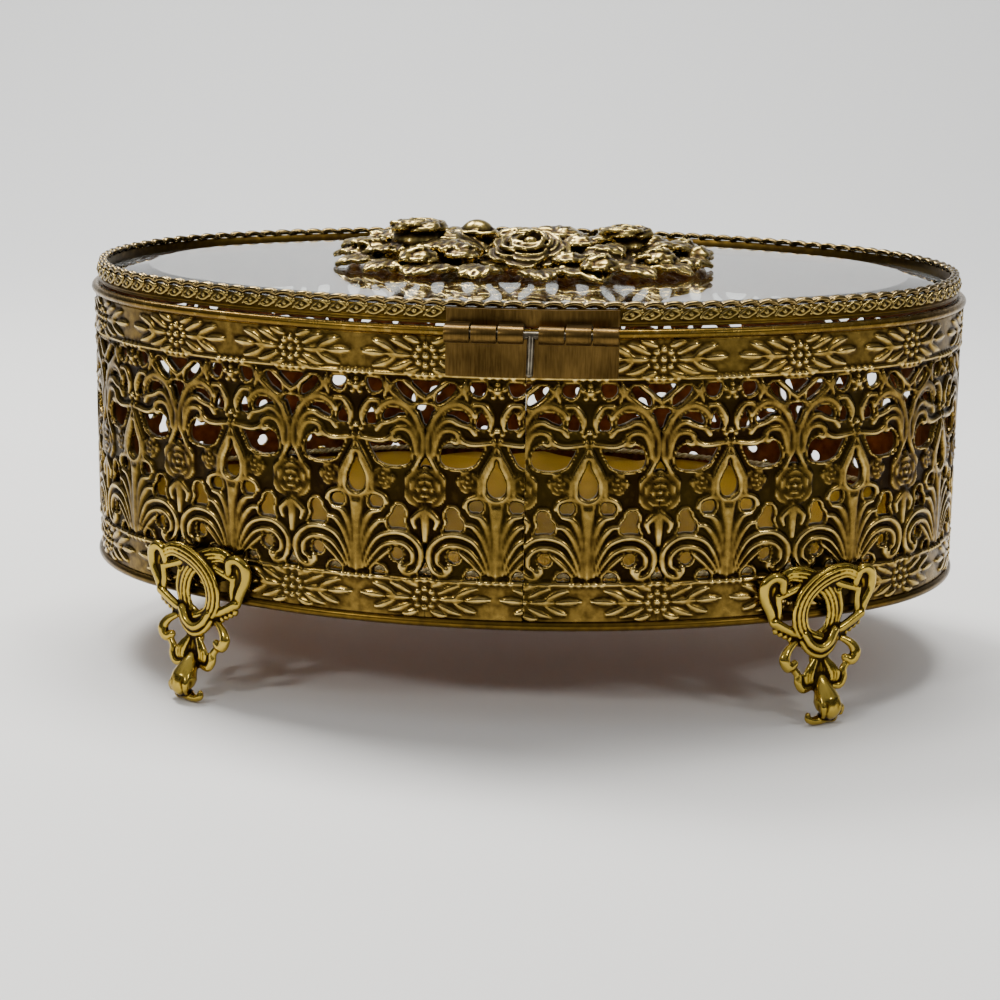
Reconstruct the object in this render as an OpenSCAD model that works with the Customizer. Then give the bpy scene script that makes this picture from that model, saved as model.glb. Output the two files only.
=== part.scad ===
// Oval casket with a pierced filigree wall, four cast feet and a hinged glass lid.
// Millimetres. +Z is up, the floor is z = 0 and the hinge is on the -Y side.

/* [Oval plan] */
// Overall length along X, over the rims
body_length = 190; // [180:1:240]
// Overall width along Y, over the rims
body_width = 128; // [106:1:140]
// Radius of the rounded ends of the oval
end_radius = 50; // [42:1:52]

/* [Body] */
// Clear height under the body, which is the height of the feet
foot_height = 20.4; // [17:0.1:25]
// Height of the body from the bottom of its base rim to the top of its top rim
body_height = 60.5; // [50:0.5:73]
// Height of the rolled top rim
top_rim_height = 1.9; // [1.6:0.1:2.3]
// Height of the rolled base rim
base_rim_height = 2; // [1.6:0.1:2.4]
// Height of the plain borders above and below the pierced field
border_height = 8.4; // [7:0.1:10]
// Thickness of the pressed wall
wall_thickness = 1; // [0.8:0.05:1.2]
// Distance from the outside of the rims in to the face of the borders
border_inset = 0.8; // [0.6:0.05:1]
// Depth of the pierced field behind the borders
field_step = 0.3; // [0.2:0.05:0.4]
// Number of repeats of the pattern round the wall
repeats = 18; // [16:2:20]
// Distance along the wall from the seam to the first palmette
seam_to_palmette = 12.5; // [10:0.5:14]
// Distance along the wall from the last palmette to the seam
palmette_to_seam = 5.5; // [4:0.5:8]
// Distance of the seam from the middle of the hinge side
seam_offset = 4.7; // [0:0.1:8]
// Width of the seam in the wall
seam_width = 0.3; // [0.2:0.05:0.4]

/* [Floor and lining] */
// Thickness of the metal floor
floor_thickness = 0.8; // [0.6:0.1:1]
// Width of the ledge of the base rim under the floor
floor_ledge = 5; // [4:0.5:6]
// Thickness of the stiff board under the pad
board_thickness = 1; // [0.8:0.1:1.2]
// Thickness of the pad at its edge
pad_edge = 7.6; // [6:0.1:9]
// Rise of the crown of the pad above its edge
pad_crown = 1.6; // [1:0.1:2]
// Thickness of the trim cord round the pad
trim_thickness = 1.5; // [1.2:0.1:1.6]

/* [Feet] */
// Distance along X from the end of the body to the middle of a foot
foot_from_end = 32; // [26:1:38]
// Width of the shield of a foot
foot_width = 24; // [20:0.5:28]
// Height of the shield above the bottom of the body
foot_overlap = 11; // [9:0.5:13]
// Thickness of the shield
foot_thickness = 2.4; // [2:0.1:3]
// Distance that the toe stands out from the rim
toe_reach = 8; // [6:0.5:10]
// Radius of the flat under the toe
toe_radius = 2.6; // [2.2:0.1:3]
// Distance between the two rivets of a foot
rivet_spacing = 12; // [10:0.5:14]
// Diameter of the rivet shank
rivet_diameter = 2; // [1.6:0.1:2.4]

/* [Hinge] */
// Length of the hinge
hinge_length = 33.5; // [28:0.5:40]
// Distance of the middle of the hinge from the middle of the body
hinge_offset = 5.75; // [0:0.25:8]
// Outside diameter of the knuckles
knuckle_diameter = 3.5; // [3:0.1:3.7]
// Diameter of the hinge pin
hinge_pin_diameter = 1.5; // [1.2:0.05:1.8]
// Radial running clearance between the pin and the knuckles
pin_clearance = 0.05; // [0.02:0.01:0.08]
// Gap between neighbouring knuckles
knuckle_gap = 0.3; // [0.2:0.05:0.4]
// Gap in the middle of the barrel for the tail of the pin
tail_gap = 2.9; // [2.2:0.1:3.4]
// Thickness of the leaves
leaf_thickness = 0.9; // [0.7:0.05:1]
// Height of the lower leaf
lower_leaf_height = 7.6; // [6:0.1:9]
// Length of the tail of the pin
tail_length = 7.8; // [6:0.1:9]
// Angle of the tail out from straight down
tail_angle = 28; // [15:1:40]

/* [Lid] */
// Gap between the body and the closed lid
lid_gap = 0.35; // [0.3:0.05:0.6]
// Distance from the outside of the body rims in to the outside of the lid
lid_inset = 1.75; // [1.4:0.05:2.2]
// Height of the lid band
lid_height = 3.4; // [3:0.1:4]
// Thickness of the lid band
lid_wall = 0.8; // [0.6:0.05:1]
// Width of the ledge under the glass
glass_ledge = 5; // [4:0.5:6]
// Thickness of the ledge under the glass
ledge_thickness = 0.6; // [0.5:0.05:0.8]
// Diameter of the bead line along the bottom of the lid
lid_bead = 0.8; // [0.6:0.05:0.9]
// Height of the rope gallery on top of the lid
gallery_height = 1.5; // [1.2:0.1:1.8]
// Width of the rope gallery
gallery_width = 2; // [1.7:0.1:2.3]
// Thickness of the glass
glass_thickness = 2.5; // [2.1:0.1:2.7]
// Thickness of the glass at its edge
glass_edge = 1.2; // [1:0.1:1.5]
// Width of the bevel of the glass
glass_bevel = 10; // [8:0.5:12]
// Gap between the glass and the metal round it
glass_gap = 0.3; // [0.2:0.05:0.4]

/* [Ornament] */
// Thickness of the cast base of the ornament
ornament_base = 1.3; // [1:0.1:1.6]
// Distance between the two studs
stud_spacing = 30; // [24:1:34]
// Diameter of the studs
stud_diameter = 3; // [2.5:0.1:3.5]
// Clearance of the studs in the glass
stud_clearance = 0.3; // [0.2:0.05:0.5]
// Thickness of the washers under the glass
washer_thickness = 0.6; // [0.4:0.1:0.8]
// Diameter of the washers and nuts
nut_diameter = 7; // [6:0.5:8]
// Height of the nuts
nut_height = 2.4; // [2:0.1:3]
// Radius of the large middle rose
rose_radius = 8; // [7:0.5:9]
// Height of the large middle rose
rose_height = 7; // [6:0.5:8]

/* [Hidden] */
$fn = 48;

// Plan of the oval: two arcs of end_radius and two of side_radius, tangent to each other.
half_length = body_length / 2;
half_width = body_width / 2;
end_centre = half_length - end_radius;
side_radius = (end_centre * end_centre + half_width * half_width - end_radius * end_radius)
    / (2 * (half_width - end_radius));
side_centre = side_radius - half_width;
side_angle = atan2(end_centre, side_centre);
plan_points = 72;
overlap = 0.5;
tiny = 0.01;

// Levels of the body.
base_z = foot_height;
top_z = base_z + body_height;
field_bottom = base_z + base_rim_height + border_height;
field_top = top_z - top_rim_height - border_height;
ledge_under_floor = 0.7;
wall_bottom = base_z + ledge_under_floor;
wall_top = top_z - top_rim_height;
wall_inner = border_inset + field_step + wall_thickness;
lining_gap = 1;
floor_z = base_z + ledge_under_floor;
board_z = floor_z + floor_thickness;
pad_z = board_z + board_thickness;
pad_inset = wall_inner + lining_gap;
trim_inset = wall_inner + 0.1 + trim_thickness / 2;
crown_inset = trim_inset + trim_thickness;

// Openings of one repeat: distance from the palmette, height in the field as a share of the
// field, radius, number of sides and turn of the opening.
field_height = field_top - field_bottom;
wall_run = wall_length(border_inset);
repeat_length = (wall_run - seam_to_palmette - palmette_to_seam) / (repeats - 1);
seam_margin = 3;
OPENINGS = [
    [0, 0.52, 2.3, 4, 0],
    [0.26, 0.66, 2.8, 6, 0],
    [-0.26, 0.66, 2.8, 6, 0],
    [0.31, 0.3, 2.1, 5, 0],
    [-0.31, 0.3, 2.1, 5, 0],
    [0.5, 0.82, 2.6, 4, 0],
    [0.12, 0.82, 1.5, 6, 0],
    [-0.12, 0.82, 1.5, 6, 0],
];

// Feet and rivets.
foot_x = half_length - foot_from_end;
foot_angle = normal_at_x(foot_x);
FOOT_ANGLES = [180 - foot_angle, foot_angle, 180 + foot_angle, -foot_angle];
ankle_radius = 2.1;
toe_z = toe_radius;
rivet_z = base_z + base_rim_height + border_height / 2 - 0.5;
rivet_fit = 0.05;
rivet_head = 0.5;
rivet_head_diameter = rivet_diameter * 1.5;
foot_back = 0.1;

// Hinge.
knuckle_radius = knuckle_diameter / 2;
hinge_y = -(half_width + knuckle_radius + 0.45);
hinge_z = top_z - 0.8;
web_thickness = 0.65;
hinge_left = hinge_offset - hinge_length / 2;
knuckle_length = (hinge_length - tail_gap - 4 * knuckle_gap) / 6;
knuckle_step = knuckle_length + knuckle_gap;
KNUCKLES = [for (k = [0:5])
    hinge_left + k * knuckle_step + (k > 2 ? tail_gap - knuckle_gap : 0)];
UPPER_KNUCKLES = [KNUCKLES[0], KNUCKLES[2], KNUCKLES[4]];
LOWER_KNUCKLES = [KNUCKLES[1], KNUCKLES[3], KNUCKLES[5]];
lower_leaf_top = hinge_z - knuckle_radius + web_thickness;
pin_tail_diameter = hinge_pin_diameter - 0.1;
pin_reach = -hinge_y + tail_length * sin(tail_angle) + pin_tail_diameter / 2;
// The oval stands this far forward of the origin, which is under the middle of the whole
// closed casket with its hinge pin.
forward = (pin_reach - half_width) / 2;

// Lid.
lid_z = top_z + lid_gap;
lid_top = lid_z + lid_height;
upper_leaf_top = lid_top - 0.1;
glass_z = lid_z + ledge_thickness;
glass_top = glass_z + glass_thickness;
glass_inset = lid_inset + lid_wall + glass_gap;
gallery_inset = lid_inset - 0.2;
bead_z = lid_z + lid_bead;

// Ornament: positions on the glass, each as x, y.
ornament_z = glass_top;
rose_z = ornament_z + ornament_base;
MIDDLE_ROSE = [1.5, -8];
LEFT_ROSE = [-24, 3];
RIGHT_ROSE = [21.5, 4];
BUD = [-11.5, 9];
LEFT_ROSETTES = [[-33, 1], [-22, -12]];
RIGHT_ROSETTES = [[29, -6], [17, -19], [34, 10]];

// Length round the oval at an inset.
function wall_length(inset) =
    4 * (side_radius - inset) * side_angle * PI / 180
    + 4 * (end_radius - inset) * (90 - side_angle) * PI / 180;

// Centre of the arc whose outward normal is at an angle from -90 to 270.
function arc_centre(angle) =
    angle < side_angle - 90 || angle > 270 - side_angle ? [0, side_centre]
    : angle < 90 - side_angle ? [end_centre, 0]
    : angle < 90 + side_angle ? [0, -side_centre]
    : [-end_centre, 0];

function arc_radius(angle, inset) =
    (abs(arc_centre(angle)[0]) > 0 ? end_radius : side_radius) - inset;

// Angle of the normal at a distance along the oval from the middle of the hinge side.
function normal_at(distance, inset) =
    let (side = (side_radius - inset) * side_angle * PI / 180,
         end = (end_radius - inset) * (180 - 2 * side_angle) * PI / 180,
         around = wall_length(inset),
         s = distance - around * floor(distance / around),
         per_side = 180 / PI / (side_radius - inset),
         per_end = 180 / PI / (end_radius - inset))
    s < side ? -90 + s * per_side
    : s < side + end ? side_angle - 90 + (s - side) * per_end
    : s < 3 * side + end ? 90 - side_angle + (s - side - end) * per_side
    : s < 3 * side + 2 * end ? 90 + side_angle + (s - 3 * side - end) * per_end
    : 270 - side_angle + (s - 3 * side - 2 * end) * per_side;

// Angle of the normal, from the hinge side towards +X, at a distance x from the middle.
function normal_at_x(x) =
    x < side_radius * sin(side_angle) ? -90 + asin(x / side_radius)
    : -90 + asin((x - end_centre) / end_radius);

// Angles of the normal at points spaced evenly round the rims.
NORMALS = [for (k = [0:plan_points - 1]) normal_at(k * wall_length(0) / plan_points, 0)];

// Point of the oval at an angle and an inset.
function oval_point(angle, inset) =
    arc_centre(angle) + arc_radius(angle, inset) * [cos(angle), sin(angle)];

// Outline of the oval at an inset.
function oval_outline(inset) = [for (angle = NORMALS) oval_point(angle, inset)];

// Gap behind the curved wall that lets the flat head of a rivet lie clear of it, even
// where the foot stands across the joint of two arcs.
function rivet_seat(angle) =
    let (reach = (rivet_spacing + rivet_head_diameter) / 2,
         swing = reach / arc_radius(angle, wall_inner) * 180 / PI)
    pow(reach, 2) / 2
    / min(arc_radius(angle - swing, wall_inner), arc_radius(angle + swing, wall_inner)) + 0.08;

// Carries its children to the oval: +X outwards, +Y along the wall, +Z up.
module at_wall(angle, inset = 0) {
    point = oval_point(angle, inset);
    translate([point[0], point[1], 0]) rotate([0, 0, angle]) children();
}

// Sweeps a closed profile of [inset, height] points round the oval. The profile is listed
// anticlockwise as seen with the outside of the oval on the left.
module oval_sweep(profile) {
    sides = len(profile);
    points = [for (angle = NORMALS) for (p = profile) concat(oval_point(angle, p[0]), p[1])];
    faces = [for (k = [0:plan_points - 1]) for (i = [0:sides - 1])
        let (next = (k + 1) % plan_points, j = (i + 1) % sides)
        for (corner = [0, 1])
            corner == 0 ? [k * sides + i, k * sides + j, next * sides + j]
            : [k * sides + i, next * sides + j, next * sides + i]];
    polyhedron(points, faces);
}

// Points of a round or oval profile at a place given as inset and height.
function round_profile(place, width, height, sides) =
    [for (k = [0:sides - 1]) let (turn = (k + 0.5) * 360 / sides)
        place + [width / 2 * cos(turn), -height / 2 * sin(turn)]];

// A plain oval ring between two insets and two heights.
module oval_ring(outer, inner, low, high) {
    translate([0, 0, low]) linear_extrude(high - low) difference() {
        polygon(oval_outline(outer));
        polygon(oval_outline(inner));
    }
}

// A plain oval plate.
module oval_plate(inset, low, high) {
    translate([0, 0, low]) linear_extrude(high - low) polygon(oval_outline(inset));
}

// The body --------------------------------------------------------------------------

module wall_openings() {
    for (k = [0:repeats - 1]) for (hole = OPENINGS) {
        s = seam_to_palmette + (k + hole[0]) * repeat_length;
        if (s > seam_margin && s < wall_run - seam_margin)
            at_wall(normal_at(seam_offset + s, border_inset), wall_inner)
            translate([-overlap, 0, field_bottom + hole[1] * field_height])
            rotate([0, 90, 0]) rotate([0, 0, hole[4]])
            cylinder(r = hole[2], h = wall_thickness + field_step + 2 * overlap, $fn = hole[3]);
    }
}

module wall_rivet_holes() {
    for (angle = FOOT_ANGLES) at_wall(angle) foot_rivet_places() rotate([0, 90, 0])
        cylinder(r = rivet_diameter / 2 + rivet_fit, h = 4 * wall_inner, center = true);
}

module foot_rivet_places() {
    for (side = [-1, 1]) translate([0, side * rivet_spacing / 2, rivet_z]) children();
}

module filigree_wall() {
    color("#b08a3e") difference() {
        union() {
            oval_ring(border_inset, wall_inner, wall_bottom, field_bottom);
            oval_ring(border_inset + field_step, wall_inner, wall_bottom, wall_top);
            oval_ring(border_inset, wall_inner, field_top, wall_top);
        }
        wall_openings();
        wall_rivet_holes();
        at_wall(normal_at_x(seam_offset), border_inset)
            translate([-wall_thickness / 2, -seam_width / 2, wall_bottom - overlap])
            cube([wall_thickness, seam_width, top_z]);
    }
}

// A rim with a rounded outside that stands in front of the wall.
function rim_profile(low, high) =
    let (round = (high - low) / 2)
    concat(
        [for (turn = [-75:30:75]) [round - round * cos(turn), low + round + round * sin(turn)]],
        [[wall_inner, high], [wall_inner, low]]);

module top_rim() {
    color("#c39a45") oval_sweep(rim_profile(wall_top, top_z));
}

module base_rim() {
    color("#b8903f") {
        oval_sweep(rim_profile(base_z, wall_bottom));
        oval_ring(wall_inner - overlap, wall_inner + floor_ledge, base_z, wall_bottom);
        difference() {
            oval_sweep(rim_profile(base_z, base_z + base_rim_height));
            oval_plate(border_inset, wall_bottom, top_z);
        }
    }
}

module floor_plate() {
    color("#8a6a33") oval_plate(wall_inner + 0.1, floor_z, floor_z + floor_thickness);
}

module lining_board() {
    color("#6b5a3c") oval_plate(pad_inset, board_z, board_z + board_thickness);
}

module lining_pad() {
    color("#9a6f14") {
        oval_plate(pad_inset, pad_z, pad_z + pad_edge);
        oval_plate(crown_inset, pad_z + pad_edge - tiny, pad_z + pad_edge + pad_crown);
    }
}

module pad_trim_cord() {
    middle = [trim_inset, pad_z + pad_edge + trim_thickness / 2];
    color("#d9c27c") oval_sweep(round_profile(middle, trim_thickness, trim_thickness, 8));
}

// The feet --------------------------------------------------------------------------

// One cast foot on its wall place: the shield, the waist, the leg and the curled toe.
module foot() {
    shield_top = base_z + foot_overlap;
    shield_low = base_z - 3;
    front = foot_back + foot_thickness;
    difference() {
        union() {
            translate([foot_back, 0, 0]) rotate([90, 0, 90]) linear_extrude(foot_thickness)
                polygon([
                    [-foot_width / 2, shield_top - 5], [-foot_width / 2 + 4, shield_top - 1],
                    [0, shield_top], [foot_width / 2 - 4, shield_top - 1],
                    [foot_width / 2, shield_top - 5], [foot_width / 4, base_z - 1],
                    [ankle_radius, shield_low], [-ankle_radius, shield_low],
                    [-foot_width / 4, base_z - 1],
                ]);
            hull() {
                translate([front, 0, base_z + 2]) sphere(r = ankle_radius + 0.6, $fn = 20);
                translate([front + 1.2, 0, base_z * 0.55]) sphere(r = ankle_radius, $fn = 20);
            }
            hull() {
                translate([front + 1.2, 0, base_z * 0.55]) sphere(r = ankle_radius, $fn = 20);
                translate([toe_reach - 1, 0, toe_z + 1]) sphere(r = toe_radius - 0.4, $fn = 20);
            }
            for (side = [-1, 1]) translate([front, side * 4.6, base_z - 3.2])
                rotate([0, 90, 0]) cylinder(r = 2.6, h = foot_thickness, center = true);
            translate([toe_reach, 0, 0]) cylinder(r = toe_radius, h = toe_z + 1);
            translate([toe_reach, 0, toe_z + 1]) sphere(r = toe_radius);
            foot_rivet_places() translate([-border_inset + 0.15, 0, 0]) rotate([0, 90, 0])
                cylinder(r = rivet_diameter, h = foot_thickness);
        }
        foot_rivet_places() translate([-border_inset, 0, 0]) rotate([0, 90, 0])
            cylinder(r = rivet_diameter / 2 + rivet_fit, h = foot_thickness);
    }
}

module foot_place(angle) {
    color("#a8823a") at_wall(angle) foot();
}

module foot_rear_right() {
    foot_place(FOOT_ANGLES[1]);
}

module foot_front_right() {
    foot_place(FOOT_ANGLES[3]);
}

module foot_front_left() {
    foot_place(FOOT_ANGLES[2]);
}

module foot_rear_left() {
    foot_place(FOOT_ANGLES[0]);
}

module foot_rivets() {
    color("#7d6230") for (angle = FOOT_ANGLES) {
        depth = wall_inner + rivet_seat(angle);
        at_wall(angle) foot_rivet_places() rotate([0, 90, 0]) {
            translate([0, 0, -depth])
                cylinder(d = rivet_diameter, h = depth + foot_thickness - border_inset - 0.3);
            translate([0, 0, -depth - rivet_head]) cylinder(d = rivet_head_diameter, h = rivet_head);
        }
    }
}

// The hinge -------------------------------------------------------------------------

module knuckle(start) {
    translate([start, hinge_y, hinge_z]) rotate([0, 90, 0])
        cylinder(r = knuckle_radius, h = knuckle_length);
}

module knuckle_bore() {
    translate([hinge_left - overlap, hinge_y, hinge_z]) rotate([0, 90, 0])
        cylinder(r = hinge_pin_diameter / 2 + pin_clearance, h = hinge_length + 2 * overlap);
}

// A leaf that lies on the oval at an inset.
module leaf_plate(inset, low, high) {
    intersection() {
        oval_ring(inset - leaf_thickness, inset, low, high);
        translate([hinge_left, -body_width, low - overlap])
            cube([hinge_length, body_width, high - low + 2 * overlap]);
    }
}

module hinge_lower_leaf() {
    color("#8f7440") difference() {
        union() {
            leaf_plate(border_inset, lower_leaf_top - lower_leaf_height, lower_leaf_top);
            for (start = LOWER_KNUCKLES) {
                knuckle(start);
                translate([start, hinge_y, lower_leaf_top - web_thickness])
                    cube([knuckle_length, half_width, web_thickness]);
            }
        }
        knuckle_bore();
        oval_plate(border_inset, lower_leaf_top - lower_leaf_height - 1, lower_leaf_top + tiny);
    }
}

module hinge_upper_leaf() {
    web_top = hinge_z + knuckle_radius;
    color("#927642") difference() {
        union() {
            leaf_plate(lid_inset, web_top - web_thickness, upper_leaf_top);
            for (start = UPPER_KNUCKLES) {
                knuckle(start);
                translate([start, hinge_y, web_top - web_thickness])
                    cube([knuckle_length, half_width, web_thickness]);
            }
        }
        knuckle_bore();
        oval_plate(lid_inset, web_top - web_thickness - 1, upper_leaf_top + tiny);
    }
}

module hinge_pin() {
    middle = KNUCKLES[3] - tail_gap / 2;
    color("#a58d5c") {
        translate([hinge_left, hinge_y, hinge_z]) rotate([0, 90, 0])
            cylinder(d = hinge_pin_diameter, h = hinge_length);
        translate([middle, hinge_y, hinge_z]) rotate([180 - tail_angle, 0, 0]) {
            cylinder(d = pin_tail_diameter, h = tail_length);
            translate([0, 0, tail_length]) sphere(d = pin_tail_diameter);
        }
    }
}

// The lid ---------------------------------------------------------------------------

module lid_frame() {
    color("#b48d3f") {
        oval_ring(lid_inset, lid_inset + lid_wall, lid_z, lid_top);
        oval_ring(lid_inset + overlap, lid_inset + lid_wall + glass_ledge, lid_z, glass_z);
    }
}

module lid_bead_line() {
    color("#d0aa58") difference() {
        oval_sweep([for (turn = [-90:30:90])
            [lid_inset - lid_bead / 2 * cos(turn), bead_z + lid_bead / 2 * sin(turn)]]);
        translate([hinge_left - 0.1, -body_width, lid_z - 1])
            cube([hinge_length + 0.2, body_width, lid_height]);
    }
}

// The rope on top of the band, whose inside stands over the edge of the glass.
module lid_gallery() {
    middle = [gallery_inset + gallery_width / 2, lid_top + gallery_height / 2];
    color("#c9a24e") oval_sweep(round_profile(middle, gallery_width, gallery_height, 8));
}

module stud_places() {
    for (side = [-1, 1]) translate([side * stud_spacing / 2, 0, 0]) children();
}

module glass_panel() {
    color("#cfe0e0", 0.35) difference() {
        hull() {
            oval_plate(glass_inset, glass_z, glass_z + glass_edge);
            oval_plate(glass_inset + glass_bevel, glass_z, glass_top);
        }
        stud_places() translate([0, 0, glass_z - overlap])
            cylinder(d = stud_diameter + 2 * stud_clearance, h = glass_thickness + 2 * overlap);
    }
}

// The ornament ----------------------------------------------------------------------

// A pointed leaf that lies flat with its foot at the origin and its tip along +X.
module flat_leaf(length, width, thickness) {
    arc = (length * length + width * width) / (4 * width);
    intersection() {
        translate([length / 2, arc - width / 2, 0]) cylinder(r = arc, h = thickness);
        translate([length / 2, width / 2 - arc, 0]) cylinder(r = arc, h = thickness);
    }
}

module ornament_leaf_base() {
    color("#b9913e") translate([0, 0, ornament_z]) difference() {
        union() {
            for (place = [MIDDLE_ROSE, BUD, LEFT_ROSE, RIGHT_ROSE])
                translate([place[0], place[1], 0]) cylinder(r = rose_radius - 1, h = ornament_base);
            translate([-30, -4, 0]) cube([62, 9, ornament_base]);
            translate([-24, 6, 0]) rotate([0, 0, 180]) flat_leaf(18, 8, ornament_base);
            translate([-20, -4, 0]) rotate([0, 0, 225]) flat_leaf(21, 9, ornament_base);
            translate([-4, -10, 0]) rotate([0, 0, 235]) flat_leaf(15, 8, ornament_base);
            translate([8, -10, 0]) rotate([0, 0, 300]) flat_leaf(19, 9, ornament_base);
            translate([22, -2, 0]) rotate([0, 0, 325]) flat_leaf(17, 8, ornament_base);
            translate([24, 6, 0]) rotate([0, 0, 15]) flat_leaf(17, 8, ornament_base);
            translate([16, 8, 0]) rotate([0, 0, 60]) flat_leaf(17, 8, ornament_base);
            translate([-4, 8, 0]) rotate([0, 0, 95]) flat_leaf(17, 8, ornament_base);
            translate([-20, 8, 0]) rotate([0, 0, 130]) flat_leaf(16, 8, ornament_base);
        }
        stud_places() translate([0, 0, -overlap]) cylinder(d = stud_diameter, h = ornament_base / 2 + overlap);
    }
}

// A tier of five petals with a scalloped outline.
module petal_tier(radius, low, high, turn) {
    translate([0, 0, low]) linear_extrude(high - low) polygon([for (angle = [0:9:351])
        radius * (0.88 + 0.12 * cos(5 * angle)) * [cos(angle + turn), sin(angle + turn)]]);
}

// A rose of three tiers that narrow upwards, on a stem.
module rose(radius, height, lift = 0) {
    cylinder(r = radius * 0.4, h = lift + height * 0.25);
    petal_tier(radius, lift + height * 0.2, lift + height * 0.5, 0);
    petal_tier(radius * 0.7, lift + height * 0.45, lift + height * 0.8, 36);
    petal_tier(radius * 0.4, lift + height * 0.75, lift + height, 0);
}

module rose_at(place, radius, height, lift = 0) {
    translate([place[0], place[1], rose_z]) rose(radius, height, lift);
}

module rose_middle() {
    color("#c8a04a") rose_at(MIDDLE_ROSE, rose_radius, rose_height);
}

module rose_left() {
    color("#c8a04a") rose_at(LEFT_ROSE, rose_radius * 0.75, rose_height * 0.75, 4.5);
}

module rose_right() {
    color("#c8a04a") rose_at(RIGHT_ROSE, rose_radius * 0.7, rose_height * 0.75, 4);
}

module rose_bud() {
    color("#c8a04a") rose_at(BUD, rose_radius * 0.45, rose_height * 0.8, 3);
}

module rosettes_left() {
    color("#c8a04a") for (place = LEFT_ROSETTES) rose_at(place, 3.6, 3);
}

module rosettes_right() {
    color("#c8a04a") for (place = RIGHT_ROSETTES) rose_at(place, 3.6, 3);
}

module ornament_studs() {
    reach = ornament_z - glass_z + washer_thickness + nut_height - 0.6;
    color("#8c7644") stud_places() translate([0, 0, ornament_z + ornament_base / 2 - reach])
        cylinder(d = stud_diameter, h = reach);
}

module ornament_washers() {
    color("#4a4038") stud_places() translate([0, 0, glass_z - washer_thickness]) difference() {
        cylinder(d = nut_diameter, h = washer_thickness);
        translate([0, 0, -overlap])
            cylinder(d = stud_diameter + 2 * stud_clearance, h = washer_thickness + 2 * overlap);
    }
}

module ornament_nuts() {
    color("#a0854a") stud_places() translate([0, 0, glass_z - washer_thickness - nut_height])
        difference() {
            cylinder(d = nut_diameter, h = nut_height, $fn = 6);
            translate([0, 0, nut_height / 4])
                cylinder(d = stud_diameter + 0.1, h = nut_height);
        }
}

module centred() {
    translate([0, forward, 0]) children();
}

centred() filigree_wall();
centred() top_rim();
centred() base_rim();
centred() floor_plate();
centred() lining_board();
centred() lining_pad();
centred() pad_trim_cord();
centred() foot_rear_left();
centred() foot_rear_right();
centred() foot_front_left();
centred() foot_front_right();
centred() foot_rivets();
centred() hinge_lower_leaf();
centred() hinge_pin();
centred() hinge_upper_leaf();
centred() lid_frame();
centred() lid_bead_line();
centred() lid_gallery();
centred() glass_panel();
centred() ornament_leaf_base();
centred() rose_middle();
centred() rose_left();
centred() rose_right();
centred() rose_bud();
centred() rosettes_left();
centred() rosettes_right();
centred() ornament_studs();
centred() ornament_washers();
centred() ornament_nuts();
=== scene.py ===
"""Looks of an oval gilt filigree casket with a hinged glass lid.

Lengths in this file are millimetres on the oval's own terms: a distance along the wall, a
distance out from the rims (an inset is negative) and a height. They become metres when a
mesh is made.
"""

from __future__ import annotations

import logging
import math
from dataclasses import dataclass, field
from enum import Enum
from typing import Callable, Iterable, Sequence

import bmesh
import bpy
import numpy as np
from mathutils import Matrix, Vector

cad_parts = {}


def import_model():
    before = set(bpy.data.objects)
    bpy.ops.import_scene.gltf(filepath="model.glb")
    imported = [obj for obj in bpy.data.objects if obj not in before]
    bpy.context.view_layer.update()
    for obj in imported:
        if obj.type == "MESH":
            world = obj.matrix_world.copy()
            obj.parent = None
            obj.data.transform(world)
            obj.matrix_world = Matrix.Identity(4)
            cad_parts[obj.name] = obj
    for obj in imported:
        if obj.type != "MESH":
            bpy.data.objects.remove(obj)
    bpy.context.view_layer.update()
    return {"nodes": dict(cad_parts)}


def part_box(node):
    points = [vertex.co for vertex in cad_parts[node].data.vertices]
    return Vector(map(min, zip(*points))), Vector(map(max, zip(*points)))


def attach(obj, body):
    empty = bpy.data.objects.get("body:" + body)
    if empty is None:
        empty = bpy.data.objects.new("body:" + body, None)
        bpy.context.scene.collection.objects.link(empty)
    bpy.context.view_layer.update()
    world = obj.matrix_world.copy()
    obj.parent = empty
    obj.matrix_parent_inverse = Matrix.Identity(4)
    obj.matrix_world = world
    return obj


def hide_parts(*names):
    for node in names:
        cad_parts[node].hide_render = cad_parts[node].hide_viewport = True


LOG = logging.getLogger("casket")
MM = 0.001
Grid = np.ndarray
Points = Sequence[Sequence[float]]
Colour = tuple[float, float, float]
Piece = bpy.types.Object
Socket = bpy.types.NodeSocket


# --- Geometry ---


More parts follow.
